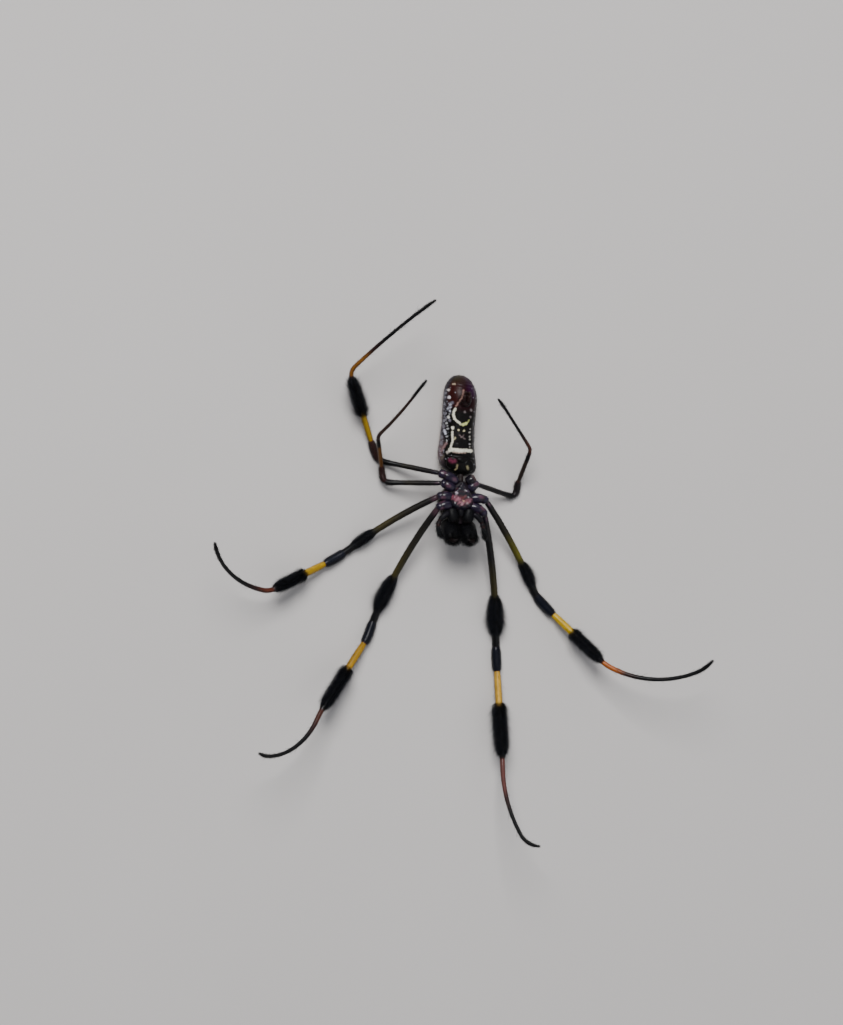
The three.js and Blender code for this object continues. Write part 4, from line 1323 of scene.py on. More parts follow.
    def fine_coat(self, skin: Skin) -> Piece:
        """Short hair all over the leg, with a few longer spines and a tuft round the claws."""
        s = self.starts()
        coat = Coat(f"{self.name}_hair")
        beyond = soft_step(skin.along, s[0] - 0.4, s[0] + 0.3)
        foot = soft_step(skin.along, s[4] - 4.0, s[5])
        knee = soft_step(skin.along, s[1] - 2.0, s[1] - 1.0) * (skin.along < s[2] - 0.1)
        slim = (self.number > 2) * soft_step(skin.along, s[2], s[2] + 1)
        roots = skin.scatter(5 + 17 * beyond + 34 * foot + 40 * knee + 26 * slim, 31 * self.number)
        tone = roots.tint * 0.5 + 0.002
        longer = (roots.along > s[1] - 1.5) & (roots.along < s[2] - 0.5)
        scale = np.where(roots.along > s[3], 0.8, 1.0) + 0.4 * longer
        scale += 0.5 * soft_step(roots.along, s[4] - 2, s[4])
        coat.comb(roots, self.lie(roots), LEG_HAIR, tone, 3, scale)
        spiny = soft_step(skin.along, s[1], s[2]) * (1 - soft_step(skin.along, s[4], s[5]))
        spines = skin.scatter(0.55 * spiny, 7 * self.number)
        coat.comb(spines, self.lie(spines), LEG_SPINE, BLACK, 8)
        tuft = skin.scatter(90 * soft_step(skin.along, s[5] - 0.7, s[5] - 0.3), 9 * self.number)
        coat.comb(tuft, self.lie(tuft), CLAW_TUFT, BLACK, 9)
        return coat.make()

    def build(self) -> None:
        """Makes every piece of the leg."""
        skin = self.make_skin()
        brushes = [(Joint.FEMUR, self.pair.femur_brush), (Joint.TIBIA, self.pair.tibia_brush)]
        for joint, brush in brushes:
            if brush:
                slot = {Joint.FEMUR: "femora", Joint.TIBIA: "tibiae"}[joint]
                present(self.brush_coat(skin, joint, brush), self.finishes.brush, slot)
        present(self.fine_coat(skin), self.finishes.hair, "metatarsi")
        present(self.make_claws(), self.finishes.jaw, "tarsi")
        nodes = [f"{self.name}_coxa"] + [f"{self.name}_{joint.value}" for joint in Joint]
        present(skin.piece, self.finishes.leg, "femora", *nodes)


@dataclass
class Stump:
    """What is left of the fourth right leg: the coxa with a healed, rounded end."""

    finishes: Finishes
    tip: tuple[float, float, float] = (2.5, 0.35, 6.4)

    def build(self) -> None:
        """Models the stump, with a wrinkled scar, and a few hairs round it."""
        root, tip = in_front_body(*PAIRS[4].coxa_root), in_front_body(*self.tip)
        length = float(np.linalg.norm(tip - root))
        girth = graded((0, 0.8), (0.4, 1), (0.7, 0.97), (0.84, 0.82), (0.94, 0.6), (1, 0.3))
        shares = (0, 0.2, 0.4, 0.58, 0.72, 0.8, 0.84, 0.88, 0.95, 1)
        rings = round_rings((s * length, girth(s) * COXA_RADIUS - 0.03) for s in shares)
        piece = Bench.grow("leg_right_4_stump", rings, 12, 3)
        along, turn = unwrapped(piece)
        skin = Skin(Bench.seat(piece, axes(tip - root, UP, root)), along, turn)
        scar = soft_step(along, 0.8 * length, 0.92 * length)
        wrinkles = 0.05 * np.sin(7 * turn) * np.sin(14 * along)
        skin.swell(scar * wrinkles - 0.08 * np.exp(-(((along - 0.83 * length) / 0.12) ** 2)))
        skin.paint(ramp(along / length, [(0, PURPLE_BLACK), (0.7, PURPLE_BLACK),
                                         (0.82, PINK_BROWN), (1, (0.050, 0.014, 0.010))]))
        give_shine(piece, np.full(len(along), 0.9))
        coat = Coat("leg_right_4_hair")
        roots = skin.scatter(10 * (1 - scar), 44)
        coat.comb(roots, unit(tip - root), STUMP_HAIR, (0.03, 0.02, 0.02), 4)
        present(coat.make(), self.finishes.hair, "coxae")
        present(piece, self.finishes.leg, "coxae", "leg_right_4_coxa")


# Front body


@dataclass(frozen=True)
class Knob:
    """A rounded rise or dent of a surface: centre, radius and height, in millimetres."""

    centre: tuple[float, float, float]
    radius: float
    height: float

    def heights(self, points: Points) -> Points:
        """Height that the knob adds at each point."""
        distance = np.linalg.norm(points - np.asarray(self.centre), axis=1)
        return self.height * np.exp(-((distance / self.radius) ** 2))


def long_form(
    name: str, length: float, shares: Sequence[float], half: Callable, above: Callable,
    below: Callable, sides: int, levels: int,
) -> tuple[Piece, Points, Points]:
    """Grows a straight shape with its own width, height and depth along X.

    Args:
        name: the piece's name.
        length: its length.
        shares: places of the rings, as shares of the length.
        half, above, below: sizes as functions of the share.
        sides: corners of each ring.
        levels: levels of subdivision.

    Returns:
        The piece, with places along it and turns round it.
    """
    rings = []
    for share in shares:
        up, down = float(above(share)), float(below(share))
        rings.append(Ring(share * length, float(half(share)), (up + down) / 2, 0, (up - down) / 2))
    piece = Bench.grow(name, rings, sides, levels)
    return piece, *unwrapped(piece)


def sized(curve: Callable, size: float, part: float = 1.0) -> Callable:
    """A curve of shares as a size in millimetres, less the room for the hair."""
    return lambda share: curve(share) * size * part - COAT_ROOM


JAW_BROWN: Colour = (0.004, 0.003, 0.003)
MOUTH_TONE: Colour = (0.004, 0.004, 0.005)

# Room for the hair between a skin and the solid's outline, in millimetres
COAT_ROOM = 0.02

# Eyes of one side: across, rearward of the face, height, radius
EYES = ((0.5, 0.02, 4.5, 0.36), (0.56, 0.12, 3.65, 0.36), (2.5, 0.75, 4.35, 0.41),
        (2.6, 1.15, 4.0, 0.41))


@dataclass
class FrontBody:
    """Carapace with eyes and horns, sternum, jaws, fangs, mouthparts and palps."""

    finishes: Finishes
    carapace_length: float = 10.2
    carapace_width: float = 8.2
    carapace_depth: float = 2.9
    carapace_back: float = -0.7
    carapace_axis: float = 5.1
    sternum_length: float = 5.3
    sternum_width: float = 4.8
    sternum_thickness: float = 1.9
    chelicera_length: float = 5.2
    chelicera_width: float = 3.5
    chelicera_depth: float = 3.0
    chelicera_tilt: float = math.radians(52)

    @property
    def ahead(self) -> Points:
        """Direction that the head points to."""
        return in_front_body(0, -1, 0) - in_front_body(0, 0, 0)

    def build(self) -> None:
        """Makes every piece of the front body."""
        self.carapace()
        self.eyes()
        self.sternum()
        self.pleura()
        for side in Side:
            self.chelicera(side)
            self.fang(side)
            self.maxilla(side)
            self.palp(side)
        self.labium()

    def carapace(self) -> None:
        """Broad shield with a raised head, radial furrows, two horns and silvery down."""
        width = graded((0, 0.2), (0.04, 0.4), (0.14, 0.72), (0.32, 1), (0.48, 0.97), (0.62, 0.78),
                       (0.72, 0.71), (0.88, 0.7), (0.96, 0.62), (1, 0.45))
        depth = graded((0, 0.2), (0.1, 0.6), (0.3, 0.82), (0.45, 0.72), (0.55, 0.74), (0.72, 1),
                       (0.88, 0.95), (0.96, 0.76), (1, 0.5))
        piece, along, turn = long_form(
            "carapace_skin", self.carapace_length,
            (0, 0.03, 0.08, 0.15, 0.24, 0.33, 0.42, 0.5, 0.57, 0.64, 0.71, 0.8, 0.89, 0.95,
             0.985, 1),
            lambda s: width(s) * self.carapace_width / 2 - 0.05,
            lambda s: 0.35 + 0.3 * s,
            lambda s: depth(s) * self.carapace_depth - 0.05,
            20, 3,
        )
        origin = in_front_body(0, self.carapace_back, self.carapace_axis)
        skin = Skin(Bench.seat(piece, axes(self.ahead, UP, origin)), along, turn)
        share = along / self.carapace_length
        middle = np.abs(np.cos(turn))
        back = np.clip(-np.sin(turn), 0, 1)
        furrows = np.cos(8 * (turn + 3.4 * (share - 0.4))) * back * soft_step(share, 0.08, 0.2)
        fading = 1 - soft_step(share, 0.55, 0.68)
        heights = 0.05 * furrows * fading * middle
        heights -= 0.3 * np.exp(-(((share - 0.4) / 0.045) ** 2) - ((middle / 0.16) ** 2)) * back
        neck = share - 0.56 - 0.12 * middle
        heights -= 0.16 * np.exp(-((neck / 0.035) ** 2)) * soft_step(back, 0.1, 0.5)
        skin.swell(heights)
        blotches = np.cos(7 * turn + 9 * share) * np.cos(17 * share) * back
        tone = mixed((0.055, 0.04, 0.03), (0.015, 0.011, 0.01), soft_step(blotches, 0.2, 0.6))
        skin.paint(mixed(tone, (0.02, 0.012, 0.012), soft_step(np.sin(turn), -0.2, 0.3)))
        coat = Coat("carapace_down")
        bare = soft_step(blotches, 0.3, 0.55)
        edge = soft_step(-np.sin(turn), -0.25, 0.05)
        for side in Side:
            for across, rearward, height, radius in EYES:
                place = (side.value * across, self.carapace_back - self.carapace_length + rearward)
                away = np.linalg.norm(skin.points - in_front_body(*place, height), axis=1)
                edge = edge * soft_step(away, radius + 0.02, radius + 0.14)
        roots = skin.scatter(95 * edge * (1 - 0.85 * bare), 71)
        grey = mixed((0.52, 0.5, 0.46), (0.2, 0.17, 0.14),
                     soft_step(np.cos(9 * roots.turn), 0.3, 0.9))
        coat.comb(roots, -self.ahead, SILVER_DOWN, grey, 12)
        upright = skin.scatter(1.6 * edge, 73)
        coat.comb(upright, -self.ahead, UPRIGHT_HAIR, (0.03, 0.025, 0.02), 13)
        horns = self.horns()
        present(coat.make(), self.finishes.down, "carapace")
        present(horns, self.finishes.jaw, "carapace")
        present(piece, self.finishes.carapace, "carapace", "carapace")

    def horns(self) -> Piece:
        """Two small blunt horns behind the head."""
        profile = [(0, 0.58), (0.5, 0.52), (0.95, 0.4), (1.35, 0.26), (1.62, 0.15), (1.72, 0.06)]
        along = self.carapace_back - 0.7 * self.carapace_length
        horns = []
        for side in Side:
            matrix = axes((0, 0.12, -1), REAR, in_front_body(side.value * 1.1, along, 3.2))
            horns.append(Bench.seat(Bench.grow("horn", round_rings(profile), 10, 2), matrix))
        pair = Bench.join(horns, "carapace_horns")
        give_tint(pair, BLACK)
        return pair

    def eyes(self) -> None:
        """Four eyes in the middle of the face and two on each side, each in a low rim."""
        profile = [(-0.7, 0.75), (-0.2, 1.0), (0.02, 1.02), (0.1, 0.92), (0.5, 0.82),
                   (0.82, 0.52), (0.96, 0.2)]
        face = self.carapace_back - self.carapace_length
        lenses = []
        for side in Side:
            for across, along, height, radius in EYES:
                centre = in_front_body(side.value * across, face + along, height)
                lens = Bench.grow("lens", round_rings(profile, radius, radius), 10, 2)
                lenses.append(Bench.seat(lens, axes(self.ahead, UP, centre)))
        present(Bench.join(lenses, "eyes"), self.finishes.eye, "carapace")

    def sternum(self) -> None:
        """Heart-shaped plate with a knob beside each coxa, pink in front and black behind, with one
        painted highlight.
        """
        width = graded((0, 0.08), (0.1, 0.22), (0.3, 0.62), (0.5, 0.86), (0.68, 1), (0.85, 0.92),
                       (0.96, 0.66), (1, 0.45))
        crown = graded((0, 0.3), (0.15, 0.7), (0.5, 1), (0.85, 0.85), (1, 0.4))
        piece, along, turn = long_form(
            "sternum_skin", self.sternum_length,
            (0, 0.03, 0.08, 0.16, 0.26, 0.37, 0.48, 0.59, 0.69, 0.79, 0.88, 0.95, 0.985, 1),
            sized(width, self.sternum_width, 0.5), sized(crown, 0.5),
            lambda s: (self.sternum_thickness - 0.5) * (0.6 + 0.4 * crown(s)),
            20, 3,
        )
        origin = in_front_body(0, -0.7, STERNUM_CENTRE[2] - 0.5)
        skin = Skin(Bench.seat(piece, axes(self.ahead, UP, origin)), along, turn)
        knobs = [Knob(tuple(in_front_body(s * across, down, 7.35)), radius, height)
                 for across, down, radius, height in (
                     (1.35, -5.0, 0.62, 0.42), (1.55, -3.7, 0.6, 0.4), (1.05, -2.4, 0.5, 0.34),
                     (0.5, -1.4, 0.36, 0.22))
                 for s in (-1, 1)]
        knobs.append(Knob(tuple(in_front_body(0, -5.25, 7.35)), 0.62, 0.34))
        heights = sum(knob.heights(skin.points) for knob in knobs)
        top = soft_step(skin.normals[:, 2], 0.1, 0.5)
        heights = heights * top - 0.05 * top * np.exp(-((skin.points[:, 0] / 0.3) ** 2))
        skin.swell(heights)
        tone = (0.006, 0.004, 0.010)
        patches = (
            ((-1.72, -3.8), 0.75, (0.26, 0.065, 0.10)), ((-0.85, -4.0), 0.75, (0.34, 0.13, 0.17)),
            ((0.02, -3.6), 0.55, (0.12, 0.02, 0.022)), ((0.85, -4.2), 0.75, (0.22, 0.07, 0.085)),
            ((1.75, -3.9), 0.6, (0.24, 0.09, 0.13)), ((-0.16, -4.7), 0.7, (0.28, 0.11, 0.14)),
            ((0.5, -3.3), 0.35, (0.15, 0.05, 0.055)), ((-0.45, -3.35), 0.3, (0.05, 0.012, 0.016)),
            ((-1.4, -1.9), 0.4, (0.12, 0.05, 0.06)), ((0.9, -2.3), 0.35, (0.06, 0.03, 0.06)),
            # the first patch below, pale at (-1.3, -2.85), is a painted highlight; the other
            # patches are the plate's own colours
            ((-1.3, -2.85), 0.3, (0.6, 0.5, 0.58)), ((0.3, -4.2), 0.24, (0.5, 0.3, 0.2)),
        )
        x, y = skin.points[:, 0], skin.points[:, 1]
        ripple = 0.14 * np.sin(4.1 * x + 3.3 * y) + 0.14 * np.sin(7.3 * x - 6.0 * y)
        for (across, down), radius, colour in patches:
            near = np.hypot(x - across, (y - down) * 1.25) / radius
            tone = mixed(tone, colour, 0.9 * (1 - soft_step(near + ripple, 0.3, 1.35)))
        skin.paint(tone)
        coat = Coat("sternum_hair")
        roots = skin.scatter(9 * top, 81)
        coat.comb(roots, -self.ahead, STERNUM_HAIR, (0.03, 0.025, 0.03), 14)
        present(coat.make(), self.finishes.hair, "sternum")
        present(piece, self.finishes.sternum, "sternum", "sternum")

    def pleura(self) -> None:
        """Soft dark skin that fills the space between the shield, the sternum and the coxae."""
        width = graded((0, 0.15), (0.1, 0.5), (0.35, 0.92), (0.55, 0.96), (0.8, 0.7), (1, 0.4))
        piece, along, turn = long_form(
            "pleural_membrane", 8.3, (0, 0.05, 0.14, 0.26, 0.4, 0.54, 0.68, 0.8, 0.9, 0.97, 1),
            lambda s: width(s) * 3.55, lambda s: 1.35 * (1 - 0.3 * s), lambda s: 1.1, 16, 2,
        )
        origin = in_front_body(0, -0.5, 5.6)
        skin = Skin(Bench.seat(piece, axes(self.ahead, UP, origin)), along, turn)
        skin.swell(0.05 * np.sin(9 * along) * np.abs(np.cos(turn)))
        give_tint(piece, (0.008, 0.005, 0.008))
        present(piece, self.finishes.membrane, "coxae")

    def chelicera(self, side: Side) -> None:
        """Stout glossy jaw, flat towards its twin, with bristles and a toothed fang furrow."""
        s = side.value
        root = in_front_body(s * 1.72, -8.5, 4.6)
        ahead = self.ahead * math.cos(self.chelicera_tilt) + UP * math.sin(self.chelicera_tilt)
        size = graded((0, 0.72), (0.2, 0.93), (0.42, 1), (0.7, 0.97), (0.88, 0.84), (1, 0.5))
        piece, along, turn = long_form(
            f"chelicera_{side.word}_skin", self.chelicera_length,
            (0, 0.08, 0.2, 0.33, 0.46, 0.6, 0.73, 0.84, 0.92, 0.975, 1),
            sized(size, self.chelicera_width, 0.5), sized(size, self.chelicera_depth, 0.45),
            sized(size, self.chelicera_depth, 0.55), 18, 3,
        )
        Bench.seat(piece, axes(ahead, REAR, root))
        inward = in_front_body(1, 0, 0) - in_front_body(0, 0, 0)
        points = coordinates(piece)
        across = (points - in_front_body(0, 0, 0)) @ inward * s
        limit = 0.06 + 0.03 * np.clip(0.3 - across, 0, 3)
        points += (np.maximum(across, limit) - across)[:, None] * inward * s
        move_vertices(piece, points)
        skin = Skin(piece, along, turn)
        share = along / self.chelicera_length
        furrow = np.exp(-(((turn - math.pi / 2) / 0.4) ** 2)) * soft_step(share, 0.72, 0.86)
        boss = Knob(tuple(root + ahead * 0.7 + inward * s * 1.3), 0.7, 0.22)
        skin.swell(boss.heights(skin.points) - 0.2 * furrow)
        skin.paint(mixed((0.003, 0.003, 0.004), JAW_BROWN, soft_step(share, 0.9, 1.0)))
        coat = Coat(f"chelicera_{side.word}_bristles")
        outer = 1 - soft_step(-np.cos(turn) * s, 0.2, 0.8)
        roots = skin.scatter(24 * outer * soft_step(share, 0.05, 0.2), 91)
        coat.comb(roots, ahead + 0.3 * self.ahead, JAW_BRISTLE, MOUTH_TONE, 15)
        rim = skin.scatter(60 * soft_step(share, 0.7, 0.9), 92)
        inner = np.clip(-s * (rim.normals @ inward), 0, 1)
        lie = ahead + 0.2 * self.ahead - 0.7 * s * inward * inner[:, None]
        coat.comb(rim, lie, JAW_RIM, BLACK, 16, 1 + 0.8 * inner)
        comb = skin.scatter(7 * soft_step(share, 0.82, 0.95), 93)
        coat.comb(comb, ahead + 0.5 * self.ahead - 0.3 * s * inward, JAW_COMB, BLACK, 17)
        profile = [(0, 0.14), (0.14, 0.12), (0.28, 0.07), (0.36, 0.02)]
        teeth = []
        for index in range(4):
            spot = root + ahead * (self.chelicera_length * (0.86 + 0.035 * index))
            spot = spot + REAR * 0.75 * float(size(0.9)) + inward * s * (0.35 * index - 0.6)
            tooth = Bench.grow("tooth", round_rings(profile), 6, 1)
            teeth.append(Bench.seat(tooth, axes(ahead * 0.7 + REAR * 0.5, UP, spot)))
        row = Bench.join(teeth, f"chelicera_{side.word}_teeth")
        give_tint(row, (0.010, 0.005, 0.005))
        present(row, self.finishes.jaw, "chelicerae")
        present(coat.make(), self.finishes.brush, "chelicerae")
        present(piece, self.finishes.jaw, "chelicerae", f"chelicera_{side.word}")

    def fang(self, side: Side) -> None:
        """Curved fang that folds inwards over the end of the jaw."""
        knots = [in_front_body(side.value * x, y, z) for x, y, z in (
            (2.15, -11.35, 8.3), (2.1, -11.75, 8.95), (1.5, -11.75, 9.55), (0.75, -11.35, 9.55))]
        spine = Spine.through(knots, 30)
        girth = graded((0, 0.48), (0.14, 0.46), (0.24, 0.4), (0.3, 0.44), (0.7, 0.3), (0.92, 0.13),
                       (1, 0.03))
        shares = (0, 0.07, 0.14, 0.2, 0.25, 0.31, 0.42, 0.55, 0.7, 0.84, 0.94, 1)
        rings = round_rings((s * spine.length, girth(s)) for s in shares)
        piece = Bench.grow(f"fang_{side.word}_claw", rings, 10, 2)
        share = unwrapped(piece)[0] / spine.length
        Bench.bend(piece, spine)
        give_tint(piece, ramp(share, [(0, JAW_BROWN), (0.3, (0.006, 0.003, 0.003)),
                                      (0.75, (0.005, 0.003, 0.003)), (1, (0.003, 0.003, 0.003))]))
        present(piece, self.finishes.jaw, "fangs", f"fang_{side.word}")

    def maxilla(self, side: Side) -> None:
        """Rounded plate beside the mouth with a reddish fringe on its inner edge."""
        s = side.value
        root, tip = in_front_body(s * 1.8, -5.7, 6.7), in_front_body(s * 1.3, -8.45, 7.0)
        length = float(np.linalg.norm(tip - root))
        size = graded((0, 0.75), (0.3, 0.95), (0.65, 1), (0.88, 0.8), (1, 0.45))
        piece, along, turn = long_form(
            f"maxilla_{side.word}_skin", length, (0, 0.12, 0.28, 0.45, 0.62, 0.78, 0.9, 0.97, 1),
            sized(size, 1.06), sized(size, 0.75), sized(size, 0.8), 14, 2,
        )
        skin = Skin(Bench.seat(piece, axes(tip - root, UP, root)), along, turn)
        share = along / length
        skin.paint(mixed(MOUTH_TONE, (0.010, 0.006, 0.006), soft_step(share, 0.85, 1.0)))
        coat = Coat(f"maxilla_{side.word}_fringe")
        inner = soft_step(np.cos(turn) * s, 0.0, 0.7) * soft_step(share, 0.5, 0.8)
        roots = skin.scatter(45 * inner, 101)
        lie = unit(tip - root) - 0.4 * s * np.array([1, 0, 0])
        coat.comb(roots, lie, MOUTH_FRINGE, (0.005, 0.004, 0.004), 17)
        coat.comb(skin.scatter(26.0, 102), tip - root, MOUTH_HAIR, (0.006, 0.006, 0.007), 18)
        present(coat.make(), self.finishes.hair, "mouthparts")
        present(piece, self.finishes.mouth, "mouthparts", f"maxilla_{side.word}")

    def labium(self) -> None:
        """Small rounded lip between the maxillae."""
        root, tip = in_front_body(0, -5.6, 6.7), in_front_body(0, -7.4, 6.95)
        length = float(np.linalg.norm(tip - root))
        size = graded((0, 1), (0.5, 0.95), (0.85, 0.7), (1, 0.4))
        piece, along, turn = long_form(
            "labium_skin", length, (0, 0.2, 0.4, 0.6, 0.78, 0.9, 0.97, 1),
            sized(size, 0.7), sized(size, 0.55), sized(size, 0.6), 14, 2,
        )
        skin = Skin(Bench.seat(piece, axes(tip - root, UP, root)), along, turn)
        skin.paint(ramp(along / length, [(0, (0.005, 0.004, 0.006)), (0.8, MOUTH_TONE),
                                         (1, (0.010, 0.007, 0.007))]))
        present(piece, self.finishes.mouth, "mouthparts", "labium")

    def palp(self, side: Side) -> None:
        """Small feeler of five joints, hairy towards its tip, with one claw."""
        s = side.value
        knots = [in_front_body(s * x, y, z) for x, y, z in (
            (2.35, -6.6, 7.0), (3.4, -7.3, 7.15), (4.2, -8.4, 7.05), (4.45, -9.5, 7.5),
            (4.4, -10.7, 8.9), (4.2, -11.2, 10.6))]
        spine = Spine.through(knots, 60)
        girth = graded((0, 0.5), (0.1, 0.55), (0.29, 0.5), (0.33, 0.36), (0.4, 0.52), (0.47, 0.38),
                       (0.57, 0.5), (0.64, 0.46), (0.67, 0.36), (0.72, 0.46), (0.8, 0.46),
                       (0.92, 0.36), (1, 0.16))
        shares = (0, 0.06, 0.13, 0.2, 0.26, 0.3, 0.33, 0.36, 0.4, 0.44, 0.47, 0.5, 0.57, 0.63,
                  0.67, 0.71, 0.77, 0.84, 0.91, 0.96, 1)
        rings = round_rings((t * spine.length, girth(t) - COAT_ROOM) for t in shares)
        piece = Bench.grow(f"palp_{side.word}_skin", rings, 10, 2)
        along, turn = unwrapped(piece)
        Bench.bend(piece, spine)
        skin = Skin(piece, along, turn)
        share = along / spine.length
        skin.paint(ramp(share, [(0, (0.007, 0.005, 0.009)), (0.28, (0.010, 0.010, 0.011)),
                                (0.33, RED_BLACK), (0.38, (0.010, 0.011, 0.012)),
                                (0.47, RED_BLACK), (0.55, (0.009, 0.010, 0.011)), (1, BLACK)]))
        coat = Coat(f"palp_{side.word}_hair")
        roots = skin.scatter(30 + 34 * soft_step(share, 0.45, 0.8), 111)
        lie = spine.at(roots.along)[1]
        scale = 0.6 + 0.7 * roots.along / spine.length
        coat.comb(roots, lie, PALP_HAIR, (0.009, 0.010, 0.013), 19, scale)
        present(coat.make(), self.finishes.hair, "palps")
        present(piece, self.finishes.mouth, "palps", f"palp_{side.word}")


# Rear body


@dataclass(frozen=True)
class Stroke:
    """A painted mark: a line or dot on the belly or back, in body millimetres."""

    knots: tuple[tuple[float, float], ...]
    width: float
    colour: Colour
    softness: float = 0.12
    strength: float = 1.0

    def share(self, x: Points, y: Points) -> Points:
        """How much of the mark's colour each place takes."""
        knots = np.array(self.knots, float)
        place = np.stack([x, y], 1)
        if len(knots) == 1:
            distance = np.linalg.norm(place - knots[0], axis=1)
        else:
            distance = np.full(len(place), 1e9)
            for start, end in zip(knots, knots[1:]):
                run = end - start
                t = np.clip((place - start) @ run / (run @ run), 0, 1)
                away = np.linalg.norm(place - start - t[:, None] * run, axis=1)
                distance = np.minimum(distance, away)
        ragged = 0.03 * np.sin(11 * x + 3 * y) + 0.03 * np.sin(13 * y - 4 * x)
        inner, outer = self.width / 2 - self.softness, self.width / 2 + self.softness
        return self.strength * (1 - soft_step(distance + ragged, inner, outer))


def line(*knots: tuple[float, float], width: float, colour: Colour, softness: float = 0.1,
         strength: float = 1.0) -> Stroke:
    """A line of the belly, through places given in steps of the view."""
    places = tuple((VIEW_STEP * x, VIEW_STEP * y) for x, y in knots)
    return Stroke(places, width, colour, softness, strength)


def spots(*places: tuple[float, float, float], colour: Colour, softness: float = 0.09,
          step: float = VIEW_STEP) -> list[Stroke]:
    """Round marks: places in steps of the view, or in the step given, and radii in mm."""
    return [Stroke(((step * x, step * y),), 2 * r, colour, softness) for x, y, r in places]


WHITE_CREAM: Colour = (0.80, 0.77, 0.62)
CREAM: Colour = (0.80, 0.72, 0.43)
YELLOW_CREAM: Colour = (0.66, 0.70, 0.26)
SILVER: Colour = (0.50, 0.50, 0.57)
DIM_SILVER: Colour = (0.17, 0.16, 0.19)
PALE: Colour = (0.86, 0.80, 0.84)
# pink of the painted highlight line by the spinnerets
HIGHLIGHT_PINK: Colour = (0.32, 0.18, 0.15)

# Marks of the belly, in steps to the right of and above the sternum's centre as the camera sees it
# painted highlight: a pale pink line along the left edge of the spinnerets
SPINNERET_HIGHLIGHT_LINE = line((1, 107), (0.3, 103), (-1, 99), (-3, 96), (-5, 93.5), (-6.5, 91),
                      width=0.3, colour=HIGHLIGHT_PINK, softness=0.13, strength=0.8)
BELLY_MARKS: tuple[Stroke, ...] = (
    line((-15.4, 44.6), (-13, 46.6), width=0.5, colour=(0.42, 0.38, 0.34), softness=0.16),
    line((-12.6, 47), (-10, 47.2), (-5, 46.6), (-1, 46.3), width=0.72, colour=WHITE_CREAM),
    line((-1, 46.3), (4, 46.6), (8.4, 46.2), width=0.62, colour=WHITE_CREAM),
    line((-9, 44.9), (-3, 44.2), (3, 44.4), width=0.26, colour=(0.5, 0.36, 0.30), strength=0.6),
    line((-12.4, 49), (-11, 53), (-9.9, 57), width=0.34, colour=WHITE_CREAM),
    line((-9.9, 57), (-10.3, 61), (-10.5, 65.4), width=0.36, colour=WHITE_CREAM),
    line((-9.2, 57.2), (-7.2, 59.4), width=0.28, colour=CREAM, strength=0.6),
    line((-7.5, 88), (-9, 85), (-9.3, 82), (-8, 78), width=0.44, colour=WHITE_CREAM),
    line((-8, 78), (-5, 75.4), (-2, 73), width=0.4, colour=WHITE_CREAM),
    line((-2, 73), (0, 71.8), width=0.34, colour=(0.5, 0.5, 0.25)),
    line((0.6, 72.6), (2.6, 73.2), (3.8, 73.8), width=0.5, colour=YELLOW_CREAM),
    line((4, 74), (6.6, 76.8), width=0.24, colour=YELLOW_CREAM, strength=0.5),
    *spots((-10, 69.2, 0.3), colour=WHITE_CREAM),
    *spots((-4.2, 67, 0.18), (1.2, 66.3, 0.2), colour=(0.58, 0.52, 0.32)),
    *spots((7, 64.6, 0.18), (7, 60.4, 0.16), (7, 57.6, 0.17), colour=(0.40, 0.38, 0.34)),
    *spots((7.5, 68, 0.13), (7.2, 53, 0.17), (7.2, 50.2, 0.13), colour=(0.30, 0.28, 0.26)),
    *spots((8.5, 87, 0.24), (8, 80, 0.2), (2, 85, 0.2), colour=(0.18, 0.15, 0.15),
           softness=0.14),
    line((-3.4, 62), (0, 59.5), (2.6, 58), width=0.24, colour=(0.24, 0.18, 0.18), strength=0.5),
    line((-1.6, 59.4), (1.4, 62.2), width=0.2, colour=(0.24, 0.18, 0.18), strength=0.4),
    SPINNERET_HIGHLIGHT_LINE,
    line((-9.6, 113), (-7.8, 113), width=0.3, colour=(0.40, 0.31, 0.22)),
    *spots((-14, 107.3, 0.24), colour=(0.66, 0.57, 0.53)),
    *spots((-13.5, 99.7, 0.3), colour=PALE),
    line((-10.4, 94.4), (-12.4, 93.4), (-12.6, 90.2), (-14.8, 88), width=0.46,
         colour=(0.24, 0.24, 0.30), softness=0.24, strength=0.7),
    *spots((-12.4, 92.4, 0.2), (-12, 89.6, 0.18), (-14.6, 88.4, 0.16), (-12.8, 86, 0.2),
           colour=SILVER),
    *spots((-17.5, 104, 0.24), (-18, 99.7, 0.26), (-18.6, 93, 0.25), (-17.6, 83.5, 0.28),
           (-13, 76.6, 0.28), (-19, 71, 0.28), (-19.4, 76.5, 0.26), (-17, 79, 0.2),
           (-21.4, 60, 0.34), (-21.6, 54, 0.34), (-19.4, 88, 0.2), colour=DIM_SILVER,
           softness=0.14),
    *spots((-14.3, 80, 0.27), colour=(0.72, 0.70, 0.67)),
    *spots((-16.2, 74, 0.22), (-14.9, 68.3, 0.2), (-15.6, 60.5, 0.17), (-15.8, 56.6, 0.16),
           (-13.2, 83, 0.14), (-17.4, 77, 0.13), (-15.4, 71.2, 0.13), colour=(0.46, 0.46, 0.47)),
    line((-18.2, 66.8), (-17.1, 63.6), width=0.4, colour=(0.62, 0.62, 0.72), softness=0.13),
    line((-16.4, 54), (-19, 50), (-21.5, 46), width=0.4, colour=(0.25, 0.15, 0.15),
         softness=0.2),
    line((-12.6, 37), (-10.2, 35.6), (-8, 36), width=0.56, colour=(0.19, 0.03, 0.07),
         softness=0.4, strength=0.85),
    line((-5.3, 32), (-5.8, 29.5), (-7.2, 27.4), width=0.3, colour=(0.30, 0.25, 0.14),
         softness=0.16),
    line((4.7, 30.4), (5.2, 28), width=0.34, colour=(0.28, 0.25, 0.14), softness=0.18),
    line((-19.4, 41), (-21.4, 38), width=0.36, colour=(0.12, 0.10, 0.08), softness=0.16),
)

